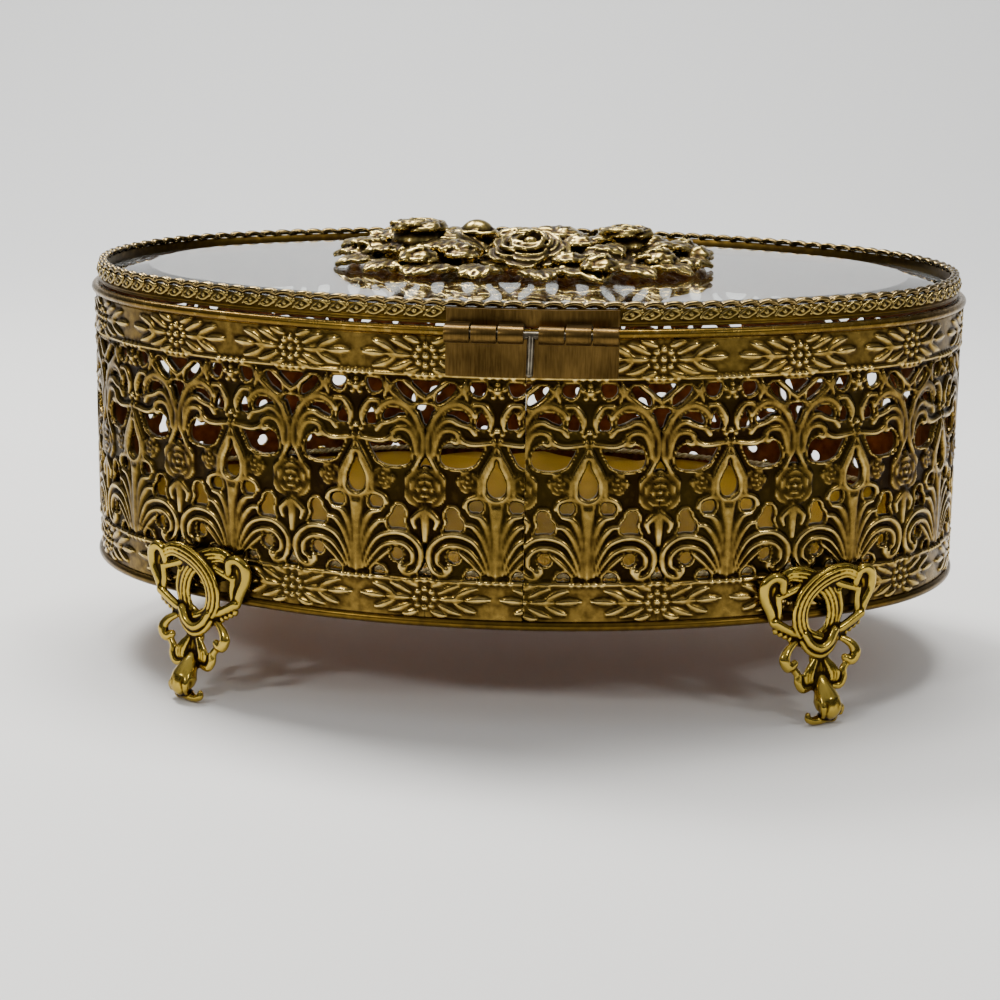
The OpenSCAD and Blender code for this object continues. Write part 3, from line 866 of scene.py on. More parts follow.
def oval_ring(name: str, oval: Oval,
              profile: Points) -> Piece:
    """A closed profile swept round the oval.

    Args:
        name: Name of the object.
        oval: The oval.
        profile: Points of distance out and height, anticlockwise when the oval's outside
            is on the right.

    Returns:
        The object.
    """
    stations = 480
    profile = np.asarray(profile, float)
    along = np.arange(stations) * oval.length() / stations
    angle = oval.angle_at(along)[:, None]
    sides = len(profile)
    points = oval.place(np.repeat(angle, sides, 1), profile[None, :, 0], profile[None, :, 1])
    index = np.arange(stations * sides).reshape(stations, sides)
    ahead, right = np.roll(index, -1, 0), np.roll(index, -1, 1)
    faces = np.stack([index, ahead, np.roll(ahead, -1, 1), right], -1)
    mesh = new_mesh(name, points.reshape(-1, 3), faces.reshape(-1, 4))
    face_outwards(mesh)
    return new_object(name, mesh)


def face_outwards(mesh: bpy.types.Mesh) -> None:
    """Turns all the faces of a closed mesh outwards."""
    work = bmesh.new()
    work.from_mesh(mesh)
    bmesh.ops.recalc_face_normals(work, faces=work.faces)
    work.to_mesh(mesh)
    work.free()


def arc(centre: Sequence[float], radius: float, start: float, end: float,
        steps: int) -> list[list[float]]:
    """Points of an arc in a profile, with angles in degrees."""
    turn = np.radians(np.linspace(start, end, steps + 1))
    return [[centre[0] + radius * math.cos(t), centre[1] + radius * math.sin(t)]
            for t in turn]


# --- Wall ---


@dataclass(frozen=True)
class Stroke:
    """A raised line of the pattern, or a ball where it has one point.

    Attributes:
        points: Distance along and height of each point of the line.
        widths: Half-widths spread evenly along the line, before it is broadened.
        height: Height of its crest over the ground.
        broad: Share by which a line is wider than its widths.
    """

    points: Points
    widths: Sequence[float]
    height: float = 0.72
    broad: float = 1.3

    def relief(self, u: Grid, z: Grid) -> tuple[Grid, Grid]:
        """Height of the line, and how far inside it each point is."""
        path = spline(self.points, 6) if len(self.points) > 2 else np.asarray(self.points)
        if len(path) == 1:
            inside = self.widths[0] - np.hypot(u - path[0, 0], z - path[0, 1])
            share = np.clip(1 - inside / self.widths[0], 0, 1)
            return self.height * np.sqrt(1 - share**2), inside
        widths = np.interp(np.linspace(0, 1, len(path)), np.linspace(0, 1, len(self.widths)),
                           self.widths)
        step = np.diff(path, axis=0)
        size = (step**2).sum(1) + 1e-9
        du, dz = u[:, None] - path[None, :-1, 0], z[:, None] - path[None, :-1, 1]
        t = np.clip((du * step[:, 0] + dz * step[:, 1]) / size, 0, 1)
        gap = np.hypot(du - t * step[:, 0], dz - t * step[:, 1])
        width = self.broad * (widths[:-1] + t * np.diff(widths))
        share = np.clip((gap / width).min(1), 0, 1)
        return self.height * (1 - share**2.6) ** 0.6, (width - gap).max(1)


@dataclass(frozen=True)
class Opening:
    """An opening of the pattern, with a raised rim of the given width."""

    points: Points
    rim: float = 0.75
    height: float = 0.62

    def depth(self, u: Grid, z: Grid) -> Grid:
        """Distance inside the opening. It is negative outside."""
        path = spline(self.points, 8, closed=True)
        ahead = np.roll(path, -1, 0)
        step = ahead - path
        du, dz = u[:, None] - path[None, :, 0], z[:, None] - path[None, :, 1]
        t = np.clip((du * step[:, 0] + dz * step[:, 1]) / ((step**2).sum(1) + 1e-9), 0, 1)
        gap = np.hypot(du - t * step[:, 0], dz - t * step[:, 1]).min(1)
        crosses = (path[:, 1] > z[:, None]) != (ahead[:, 1] > z[:, None])
        rise = np.where(np.abs(step[:, 1]) < 1e-9, 1e-9, step[:, 1])
        inside = (crosses & (du < dz * step[:, 0] / rise)).sum(1) % 2 == 1
        return np.where(inside, gap, -gap)


@dataclass(frozen=True)
class Rosette:
    """A round flower in relief with whorls of petals."""

    centre: Sequence[float]
    radius: float
    petals: int
    whorls: int
    height: float

    def relief(self, u: Grid, z: Grid) -> tuple[Grid, Grid]:
        """Height of the flower, and how far inside it each point is."""
        du, dz = u - self.centre[0], z - self.centre[1]
        far, turn = np.hypot(du, dz), np.arctan2(dz, du)
        height = np.zeros_like(u)
        inside = None
        for k in range(self.whorls):
            share = 1 - k / (self.whorls + 0.4)
            petal = np.abs(np.cos(self.petals * (turn + 0.9 * k) / 2)) ** 0.6
            edge = self.radius * share * (0.84 + 0.16 * petal)
            if inside is None:
                inside = edge - far
            near = np.clip(far / edge, 0, 1)
            cup = 0.5 + 0.5 * near**2.5 - 0.5 * (1 - petal) * near
            level = self.height * (0.5 + 0.5 * (k + 1) / self.whorls) * cup
            gap = np.clip((edge - far) / 0.22, 0, 1)
            height = np.where(gap > 0, height * 0.72, height)
            soft = gap**0.6
            height = np.maximum(height, level * soft)
        heart = self.radius * 0.13
        bead = self.height * np.sqrt(np.clip(1 - (far / heart) ** 2, 0, 1))
        return np.maximum(height, bead), inside


def blurred(values: Grid, sigma: float) -> Grid:
    """A grid softened by a bell curve, reflected at its edges."""
    reach = int(3 * sigma) + 1
    bell = np.exp(-0.5 * (np.arange(-reach, reach + 1) / sigma) ** 2)
    bell /= bell.sum()
    for axis in (0, 1):
        pad = [(0, 0), (0, 0)]
        pad[axis] = (reach, reach)
        wide = np.pad(values, pad, mode="reflect")
        values = np.apply_along_axis(np.convolve, axis, wide, bell, "valid")
    return values


@dataclass(frozen=True)
class FiligreeRepeat:
    """One repeat of the pressed and pierced wall, mirrored about the palmette at u = 0.

    Attributes:
        half: Half of the repeat. The large rose lies on u = half.
        low: Bottom of the wall.
        high: Top of the wall.
        step: Size of the cells of the mesh.
        face: Distance of the ground of the pierced field from the path.
        back: Distance of the back of the sheet from the path.
        rails: Heights of the two beaded rails.
        flowers: Heights of the flowers of the two borders.
        field: Bottom and top of the sunk field between the borders.
    """

    half: float
    low: float
    high: float
    step: float = 0.36
    face: float = -0.5
    back: float = -1.25
    rails: tuple[float, float] = (29.9, 71.2)
    flowers: tuple[float, float] = (26.2, 75.0)
    field: tuple[float, float] = (30.8, 70.6)

    def openings(self) -> list[Opening]:
        """The openings of half a repeat."""
        w = self.half
        hole = [(math.cos(t), math.sin(t)) for t in np.linspace(0, 2 * math.pi, 8, False)]

        def ring(x: float, z: float, r: float, flat: float = 9.0) -> list[tuple]:
            """A round outline that is cut off a distance below its middle."""
            return [(x + r * a, z + max(r * b, -flat)) for a, b in hole]

        return [
            Opening([(5.4, 62.6), (6.3, 64.0), (8.2, 64.4), (10.0, 63.6), (10.6, 62.3),
                     (8.9, 62.7), (7.4, 62.5), (6.0, 61.6)], 0.5),
            Opening([(1.9, 61.0), (2.0, 62.6), (3.2, 64.2), (3.9, 62.8), (4.2, 61.2),
                     (3.1, 60.8)], 0.5),
            Opening([(2.5, 57.3), (4.5, 57.1), (6.9, 57.6), (9.0, 58.0), (10.7, 57.0),
                     (11.3, 54.8), (10.4, 53.2), (7.4, 52.7), (4.7, 53.4), (3.6, 54.8)], 0.5),
            Opening([(0, 54.9), (0.55, 53.2), (1.45, 51.4), (1.95, 49.7), (1.5, 47.9),
                     (0, 47.1), (-1.5, 47.9), (-1.95, 49.7), (-1.45, 51.4), (-0.55, 53.2)],
                    1.5, 0.85),
            Opening(ring(4.1, 45.4, 1.55), 0.7),
            Opening([(8.0, 44.5), (9.4, 44.7), (10.1, 43.4), (9.8, 41.7), (10.5, 39.9),
                     (9.1, 39.7), (7.0, 40.2), (6.4, 41.7), (7.4, 43.1)], 0.7),
            Opening([(w, 55.6), (w - 0.7, 54.2), (w - 1.6, 52.8), (w - 0.9, 52.1), (w, 52.3),
                     (w + 0.9, 52.1), (w + 1.6, 52.8), (w + 0.7, 54.2)], 0.5),
            Opening([(w, 65.2), (w - 1.3, 65.1), (w - 1.85, 64.2), (w - 0.9, 62.6), (w, 61.1),
                     (w + 0.9, 62.6), (w + 1.85, 64.2), (w + 1.3, 65.1)], 0.8),
            Opening([(8.1, 69.3), (9.8, 69.6), (11.9, 67.4), (12.0, 65.7), (10.3, 66.3),
                     (8.6, 68.0)], 0.6),
            Opening([(w, 70.0), (w - 2.7, 70.0), (w - 2.3, 68.6), (w - 1.3, 67.2), (w, 67.0),
                     (w + 1.3, 67.2), (w + 2.3, 68.6), (w + 2.7, 70.0)], 0.5),
            Opening([(2.3, 69.9), (4.9, 69.9), (5.4, 68.6), (4.6, 67.5), (3.2, 67.3),
                     (2.4, 68.4)], 0.6),
            Opening(ring(8.4, 34.9, 1.35), 0.5),
            Opening(ring(4.7, 30.9, 1.4, 0.5), 0.7),
            Opening([(w, 34.3), (w - 0.7, 32.6), (w - 1.25, 31.0), (w, 30.7), (w + 1.25, 31.0),
                     (w + 0.7, 32.6)], 0.5),
        ]

    def strokes(self) -> list[Stroke]:
        """The raised lines of half a repeat, from the top down."""
        w = self.half
        thin, line = (0.3, 0.55, 0.3), (0.45, 0.6, 0.5)
        found = [
            Stroke([(1.5, 60.9), (1.1, 63.0), (2.6, 65.5), (4.6, 65.7)], line),
            Stroke([(4.3, 63.4), (5.3, 64.8), (7.6, 65.9), (10.3, 65.1), (12.1, 63.0),
                    (13.0, 60.2)], (0.6, 0.85, 0.5)),
            Stroke([(5.3, 61.2), (4.3, 59.8)], (0.6, 0.5)),
            Stroke([(5.8, 61.2), (7.6, 61.8), (9.3, 62.5), (11.0, 61.8), (12.2, 59.8),
                    (12.5, 57.7)], (0.5, 0.7, 0.5)),
            Stroke([(7.6, 58.4), (7.7, 59.8), (9.1, 60.5), (10.8, 60.2), (11.8, 58.8),
                    (12.3, 57), (12.5, 55.5)], (0.6, 0.7, 0.55)),
            Stroke([(7.6, 58.4), (8.1, 57.9), (8.8, 58.4)], (0.6, 0.5)),
            Stroke([(0.3, 58.1), (2.0, 58.0), (4.4, 57.7), (6.2, 58.0), (7.4, 58.8),
                    (8.3, 58.0)], line),
            Stroke([(0.2, 57.4), (0.9, 55.6), (2.2, 53.0), (3.2, 50.4), (3.3, 48.2)],
                   (0.4, 0.6, 0.75, 0.5), 0.8),
            Stroke([(2.9, 49.8), (3.7, 47.3)], (0.5, 0.7)),
            Stroke([(0.9, 44.9), (1.5, 46.6), (3.6, 47.3), (5.6, 46.6), (6.3, 45.2)], line),
            Stroke([(11.8, 52.3), (w - 1.2, 54.5), (w - 0.5, 56.2), (w - 0.3, 58.4),
                    (w - 0.9, 60.6), (w - 1.8, 63.6)], (0.5, 0.75, 0.5)),
            Stroke([(w, 66.4), (10.2, 69.6)], (0.5, 0.5), 0.6),
            Stroke([(11.3, 65.0), (7.5, 67.5), (7.0, 69.0)], (0.55, 0.45), 0.7),
            Stroke([(5.9, 66.6), (6.6, 68.8), (6.2, 70.2)], thin),
            Stroke([(0, 31.3), (0, 44.6)], (0.5, 1.25), 0.9),
            Stroke([(0.5, 31.4), (0.9, 36.5), (1.6, 40.5), (3.0, 43.0), (5.0, 43.6)],
                   (0.3, 0.7, 0.8, 0.4), 0.8),
            Stroke([(0.9, 31.4), (1.4, 35.5), (2.7, 39.0), (4.4, 41.2), (6.0, 41.6)],
                   (0.3, 0.65, 0.7, 0.35), 0.8),
            Stroke([(1.4, 31.6), (2.4, 34.9), (4.2, 37.9), (6.8, 39.2), (9.6, 39.3),
                    (11.8, 38.2), (13.2, 36.4), (13.4, 34.2), (12.4, 31.9), (10.4, 31.1),
                    (9.2, 32.2), (9.3, 33.3)], (0.35, 0.6, 0.65, 0.6, 0.5), 0.85),
            Stroke([(2.0, 31.8), (3.4, 34.2), (5.4, 36.4), (8.0, 37.3), (10.2, 36.9),
                    (11.6, 35.4), (11.6, 33.6), (10.6, 32.8)], (0.3, 0.55, 0.55, 0.4), 0.8),
            Stroke([(2.8, 31.6), (4.2, 33.2), (6.0, 34.9), (7.0, 35.7)], (0.3, 0.5, 0.4)),
            Stroke([(w, 44), (w, 38)], (1.05, 0.5), 0.8),
            Stroke([(w - 0.8, 43.8), (w - 2.4, 42.2), (w - 2.0, 40.4)], (0.8, 0.6, 0.3), 0.8),
            Stroke([(10.0, 32.2)], (0.85,), 0.95),
            Stroke([(0, 68.4)], (1.0,), 0.95),
            Stroke([(0, 60.6)], (0.8,), 0.95),
        ]
        for k in range(5):
            turn = math.radians(90 - 72 * k)
            found.append(Stroke([(1.35 * math.cos(turn), 68.4 + 1.35 * math.sin(turn))],
                                (0.72,), 0.75))
            found.append(Stroke([(1.1 * math.cos(turn), 59.6 + 1.1 * math.sin(turn))],
                                (0.62,), 0.8))
        return found

    def borders(self) -> list[Stroke]:
        """Rails, beads and flowers of the two plain borders of half a repeat."""
        w = self.half
        found = []
        for rail in self.rails:
            found.append(Stroke([(-1, rail), (w + 1, rail)], (0.42, 0.42), 0.72))
            for centre in (0.0, w):
                for k in range(-2, 3):
                    found.append(Stroke([(centre + 1.5 * k, rail)], (0.74,), 1.0))
        for middle in self.flowers:
            found.append(Stroke([(w, middle)], (0.8,), 1.05))
            for k in range(8):
                turn = k * math.pi / 4
                found.append(Stroke([(w + 1.95 * math.cos(turn),
                                      middle + 1.95 * math.sin(turn))], (0.78,), 0.95))
            for root, foot, reach, rise in ((8.4, 0.0, 13.2, 0.3), (6.2, 0.7, 10.9, 2.7),
                                            (6.2, -0.7, 10.7, -2.5), (3.2, 0.0, 8.3, 0.1),
                                            (3.0, 1.2, 7.4, 3.1), (3.0, -1.2, 7.3, -2.9),
                                            (1.6, 2.6, 4.6, 3.6), (1.6, -2.6, 4.6, -3.4)):
                found.append(Stroke([(w - root, middle + foot),
                                     (w - 0.5 * (root + reach),
                                      middle + 0.44 * foot + 0.6 * rise),
                                     (w - reach, middle + rise)],
                                    (0.3, 0.72, 0.8, 0.55, 0.05), 0.88))
        return found

    def fields(self, u: Grid, z: Grid) -> tuple[Grid, Grid]:
        """How far inside the metal points are, and the height of the relief there."""
        u = np.abs(u)
        metal = np.full(u.shape, 9.0)
        low, high = self.field
        height = np.where((z < low) | (z > high), 0.36, 0.0)
        edge = np.minimum(np.abs(z - low), np.abs(z - high))
        height += np.where(edge < 0.3, -0.1, 0.0)
        in_field = (z > 29.6) & (z < 71.0)
        for opening in self.openings():
            depth = opening.depth(u, z)
            metal = np.minimum(metal, -depth)
            share = np.clip(np.abs(-depth / opening.rim - 0.45) / 0.55, 0, 1)
            rim = opening.height * np.sqrt(1 - share**2)
            height = np.maximum(height, np.where(in_field, rim, 0))
        shapes = [*self.strokes(), *self.borders(), Rosette((self.half, 48.6), 4.7, 5, 3, 1.1),
                  Rosette((5.7, 50.2), 2.4, 5, 2, 0.95)]
        for shape in shapes:
            rise, inside = shape.relief(u, z)
            height = np.maximum(height, rise)
            metal = np.maximum(metal, inside)
        return metal, height

    def mesh(self, left: float, right: float) -> bpy.types.Mesh:
        """The sheet between two distances from the palmette.

        Args:
            left: Where the sheet starts, at least -half.
            right: Where it ends, at most half.

        Returns:
            A mesh with the attribute "behind" and one for wear and painted shading, open at both
            ends.
        """
        columns = 2 * round(self.half / self.step) + 1
        across = np.linspace(-self.half, self.half, columns)
        keep = (across > left - 0.45 * self.step) & (across < right + 0.45 * self.step)
        across = across[keep]
        across[0], across[-1] = left, right
        rows = round((self.high - self.low) / self.step) + 1
        z, u = np.meshgrid(np.linspace(self.low, self.high, rows), across, indexing="ij")
        shape = u.shape
        metal, _ = self.fields(u.ravel(), z.ravel())
        metal = metal.reshape(shape)
        corner = (metal[:-1, :-1] + metal[1:, :-1] + metal[1:, 1:] + metal[:-1, 1:]) / 4
        solid = corner > 0
        count = np.zeros(shape)
        for rs in (slice(0, -1), slice(1, None)):
            for cs in (slice(0, -1), slice(1, None)):
                count[rs, cs] += solid
        edge = (count > 0) & (count < 4) & (np.abs(metal) < 2 * self.step)
        slope_z, slope_u = np.gradient(metal, z[:, 0], u[0])
        slope = np.maximum(slope_z**2 + slope_u**2, 0.2)
        shift = np.clip(-metal / slope, -0.6 * self.step, 0.6 * self.step)
        inner = np.zeros(shape, bool)
        inner[:, 1:-1] = True
        u = u + np.where(edge & inner, shift * slope_u, 0)
        z = z + np.where(edge, shift * slope_z, 0)
        _, height = self.fields(u.ravel(), z.ravel())
        height = height.reshape(shape)
        # Colour values for the gilt ramp: crests above their blurred surroundings come out
        # bright as rubbed gilt with painted highlights, and recesses and the low ground come out
        # dark as patina with painted shade.
        lowered = np.where(count > 0, height, -0.25)
        soft = blurred(lowered, 2.2)
        wear = np.clip(0.33 + 0.85 * (height - soft) + 0.28 * (height - 0.35), 0, 1)
        plain = (z < 30.4) | (z > 70.9)
        wear = np.where(plain, np.clip(0.50 + 0.95 * (height - soft), 0, 1), wear)
        number = np.full(shape, -1)
        used = count > 0
        number[used] = np.arange(used.sum())
        total = int(used.sum())
        front = np.stack([u[used], self.face + height[used], z[used]], axis=-1)
        behind = np.stack([u[used], np.full(total, self.back), z[used]], axis=-1)
        quad = np.stack([number[:-1, :-1], number[:-1, 1:], number[1:, 1:], number[1:, :-1]],
                        -1)[solid]
        faces = quad[:, ::-1].tolist() + (quad + total).tolist()
        sides = np.concatenate([quad[:, [k, (k + 1) % 4]] for k in range(4)])
        taken = set(map(tuple, sides.tolist()))
        ends = {int(v) for v in number[:, 0]} | {int(v) for v in number[:, -1]}
        left_end, right_end = set(number[:, 0].tolist()), set(number[:, -1].tolist())
        for a, b in sides.tolist():
            if (b, a) in taken:
                continue
            if a in ends and ({a, b} <= left_end or {a, b} <= right_end):
                continue
            faces.append([a, b, b + total, a + total])
        mesh = new_mesh("filigree_repeat", np.vstack([front, behind]), faces)
        values = np.concatenate([wear[used], np.full(total, 0.5)])
        mesh.attributes.new("wear", "FLOAT", "POINT").data.foreach_set("value", values)
        marks = np.zeros(len(mesh.polygons))
        marks[len(quad):2 * len(quad)] = 1
        mesh.attributes.new("behind", "FLOAT", "FACE").data.foreach_set("value", marks)
        flip_if_inward(mesh, total)
        return mesh


def flip_if_inward(mesh: bpy.types.Mesh, front: int) -> None:
    """Turns a sheet's faces round if its front, the first points, faces the path."""
    face = next(p for p in mesh.polygons if max(p.vertices) < front)
    if face.normal.y < 0:
        mesh.flip_normals()


# --- Body ---


@dataclass
class Body:
    """The pierced wall, its rims, the floor and the lining.

    Attributes:
        oval: Plan of the rims.
        wrapper: The tree that repeats a pattern round the oval.
        nodes: The frame's nodes by name.
        repeats: Number of repeats of the pattern.
        border_inset: Distance of the face of the borders in from the rims.
        seam: Distance of the seam along the wall.
        first: Distance from the seam to the first palmette.
        last: Distance from the last palmette to the seam.
    """

    oval: Oval
    wrapper: WrapTree
    nodes: dict[str, Piece]
    repeats: int = 18
    border_inset: float = 0.8
    seam: float = 4.7
    first: float = 12.5
    last: float = 5.5

    def wall(self) -> None:
        """The pressed sheet: four pieces of four repeats and two trimmed ends."""
        low, high = heights("filigree_wall")
        length = self.oval.length(self.border_inset)
        pitch = (length - self.first - self.last) / (self.repeats - 1)
        pattern = FiligreeRepeat(pitch / 2, low, high)
        path = oval_path("wall_path", self.oval, self.border_inset, self.seam)
        whole = pattern.mesh(-pitch / 2, pitch / 2)
        seam_half = 0.04
        runs = [("seam_right", pattern.mesh(seam_half - self.first, pitch / 2), 0, 1)]
        runs += [(f"{1 + 4 * k}_to_{4 + 4 * k}", whole, 1 + 4 * k, 4) for k in range(4)]
        runs += [("seam_left", pattern.mesh(-pitch / 2, self.last - seam_half),
                  self.repeats - 1, 1)]
        for name, repeat, start, count in runs:
            obj = self.wrapper.wrap("filigree_wall_" + name, repeat, path, count,
                                    self.first + start * pitch, pitch, FILIGREE_GILT,
                                    BARE_BACK, closed=True)
            dress(obj, "box", "gilt_filigree", replaces=("filigree_wall",))
        bpy.data.objects.remove(path)

    def rims(self) -> None:
        """The rolled top rim and the base rim with the ledge under the floor."""
        low, high = heights("top_rim")
        round_ = (high - low) / 2
        middle = low + round_
        profile = arc((-round_, middle), round_ * 0.995, -86, 86, 12)
        profile += [[-1.3, high - 0.02], [-1.5, high - 0.12], [-2.0, high - 0.1],
                    [-2.1, high - 0.25], [-2.1, low + 0.02]]
        top = oval_ring("top_rim_rolled", self.oval, profile)
        add_wear_and_shading(top.data, 2, 0.7)
        dress(top, "box", "gilt_rim", RIM_GILT, replaces=("top_rim",))
        low, high = heights("base_rim")
        round_ = (high - low) / 2
        profile = [[-7.1, low + 0.02], [-1.6, low + 0.02], [-1.2, low + 0.1]]
        profile += arc((-round_, low + round_), round_ * 0.995, -80, 86, 12)
        profile += [[-0.85, high - 0.1], [-0.85, low + 0.68], [-7.1, low + 0.68]]
        base = oval_ring("base_rim_rolled", self.oval, profile)
        add_wear_and_shading(base.data, 2, 0.7)
        dress(base, "box", "gilt_rim", RIM_GILT, replaces=("base_rim",))

    def floor(self) -> None:
        """The floor, the board and the rivets, in their own finishes."""
        for name, finish in (("floor_plate", BARE_BACK), ("lining_board", BOARD_PAPER),
                             ("foot_rivets", CAST_GILT)):
            dress_node(self.nodes[name], finish)

    def cord(self) -> None:
        """The twisted cord round the pad."""
        low, high = heights("pad_trim_cord")
        inset, strand, steps = 2.95, 0.40, 10
        length = self.oval.length(inset)
        twists = round(length / 3.1)
        along = np.linspace(0, length, twists * steps + 1)
        angle = self.oval.angle_at(along, inset)
        angle[-1] = 1.5 * math.pi
        shell = Shell()
        for start in (0.0, math.pi):
            phase = along / length * twists * 2 * math.pi + start
            offset = (high - low) / 2 - strand
            path = self.oval.place(angle, -inset + offset * np.cos(phase),
                                   (low + high) / 2 + offset * np.sin(phase))
            shell.tube(path, strand, 7)
        obj = new_object("pad_trim_cord_twisted", shell.mesh("pad_trim_cord"))
        dress(obj, "box", "trim_cord", TRIM_THREAD, replaces=("pad_trim_cord",))

    def pad(self) -> None:
        """The satin pad, blown up a little as a cloth between its edges."""
        low, high = heights("lining_pad")
        obj = puffed(new_object("lining_pad_satin", self.pad_mesh(low, high, 240)),
                     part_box("lining_pad"))
        dress(obj, "box", "gold_satin", LINING_SATIN, replaces=("lining_pad",))

    def pad_mesh(self, low: float, high: float, stations: int) -> bpy.types.Mesh:
        """A closed cushion of the oval plan with a soft edge and a low crown."""
        inset = 3.15
        along = np.arange(stations) * self.oval.length(inset) / stations
        angle = self.oval.angle_at(along, inset)
        rim = [(0.0, low + 0.05), (0.0, low + 2.0), (0.0, low + 5.0), (0.35, high - 2.6),
               (1.5, high - 1.75)]
        rings = [self.oval.place(angle, -inset - d, z) for d, z in rim]
        middle = np.array([0.0, 0.0, high - 0.35])
        start = rings[-1]
        for share in np.linspace(0, 1, 14)[1:-1]:
            ring = start * (1 - share) + middle * share
            ring[:, 2] = start[:, 2] + (high - 0.35 - start[:, 2]) * math.sin(
                share * math.pi / 2)
            rings.append(ring)
        count = len(rings)
        points = np.vstack([*rings, middle[None]])
        index = np.arange(count * stations).reshape(count, stations)
        ahead = np.roll(index, -1, 1)
        faces = np.stack([index[:-1], ahead[:-1], ahead[1:], index[1:]], -1).reshape(-1, 4)
        faces = faces.tolist()
        tip = count * stations
        faces += [[int(a), int(b), tip] for a, b in zip(index[-1], ahead[-1])]
        faces.append(index[0][::-1].tolist())
        return new_mesh("lining_pad", points, faces)


CLOTH_CELL = 2.4
CLOTH_FRAMES = 20
CLOTH_REACH = 1.1


def puffed(obj: Piece, box: tuple) -> Piece:
    """Lets a pad settle as pressurised cloth and keeps it inside its frame box.

    No point moves further than CLOTH_REACH, in millimetres like CLOTH_CELL.

    Args:
        obj: The closed pad.
        box: Its lowest and highest corners.

    Returns:
        The same object with the settled shape.
    """
    remesh = obj.modifiers.new("cells", "REMESH")
    remesh.mode = "VOXEL"
    remesh.voxel_size = CLOTH_CELL * MM
    old = obj.data
    settle(obj, old.name)
    bpy.data.meshes.remove(old)
    start = np.empty(len(obj.data.vertices) * 3, np.float32)
    obj.data.vertices.foreach_get("co", start)
    start = start.reshape(-1, 3)
    shift = np.array([0.0, middle_of_oval(), 0.0])
    low, high = np.array(box[0]) - shift, np.array(box[1]) - shift
    held = obj.vertex_groups.new(name="held")
    height = (start[:, 2] - low[2]) / (high[2] - low[2])
    for level, weight in ((0.62, 0.5), (0.35, 1.0)):
        held.add(np.nonzero(height < level)[0].tolist(), weight, "REPLACE")
    cloth = obj.modifiers.new("cloth", "CLOTH")
    cloth.settings.use_pressure = True
    cloth.settings.uniform_pressure_force = 4.0
    cloth.settings.effector_weights.gravity = 0.0
    cloth.settings.vertex_group_mass = "held"
    cloth.settings.shrink_min = -0.03
    cloth.settings.quality = 5
    cloth.point_cache.frame_start = 1
    cloth.point_cache.frame_end = CLOTH_FRAMES
    scene = bpy.context.scene
    for number in range(1, CLOTH_FRAMES + 1):
        scene.frame_set(number)
    mesh = settle(obj, "lining_pad")
    scene.frame_set(1)
    moved = np.empty(len(mesh.vertices) * 3, np.float32)
    mesh.vertices.foreach_get("co", moved)
    moved = moved.reshape(-1, 3)
    change = moved - start
    size = np.linalg.norm(change, axis=1, keepdims=True)
    change *= np.minimum(1, CLOTH_REACH * MM / np.maximum(size, 1e-9))
    moved = np.clip(start + change, low + 0.0001, high - 0.0001)
    mesh.vertices.foreach_set("co", moved.astype(np.float32).ravel())
    fine = obj.modifiers.new("fine", "SUBSURF")
    fine.levels = fine.render_levels = 1
    settle(obj, "lining_pad")
    obj.data.polygons.foreach_set("use_smooth", [True] * len(obj.data.polygons))
    return obj


def dress_node(obj: Piece, finish: Finish) -> None:
    """Gives one of the frame's own nodes its finish.

    Args:
        obj: The node.
        finish: Its finish.
    """
    obj.data.materials.clear()
    obj.data.materials.append(finish.material())
    LOG.info("%s: the frame's own shape", obj.name)


def soften_node(node: Piece, body: str, finish: Finish,
                bevel: float) -> None:
    """Puts a copy with bevelled edges in the place of a node.

    Args:
        node: The node. It stays as it is.
        body: The body that the copy moves with.
        finish: The finish of the copy.
        bevel: Width of the bevels in millimetres.
    """
    mesh = node.data.copy()
    mesh.materials.clear()
    mesh.transform(node.matrix_world)
    obj = new_object(node.name + "_soft", mesh)
    weld = obj.modifiers.new("weld", "WELD")
    weld.merge_threshold = 0.002 * MM
    flat = obj.modifiers.new("flat", "DECIMATE")
    flat.decimate_type = "DISSOLVE"
    flat.angle_limit = math.radians(1)
    soften = obj.modifiers.new("bevel", "BEVEL")
    soften.width = bevel * MM
    soften.segments = 2
    soften.limit_method = "ANGLE"
    soften.angle_limit = math.radians(35)
    done = settle(obj, node.name + "_soft")
    done.materials.append(finish.material())
    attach(obj, body)
    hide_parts(node.name)
    LOG.info("%s: %d faces on %s", obj.name, len(done.polygons), body)


# --- Lid ---


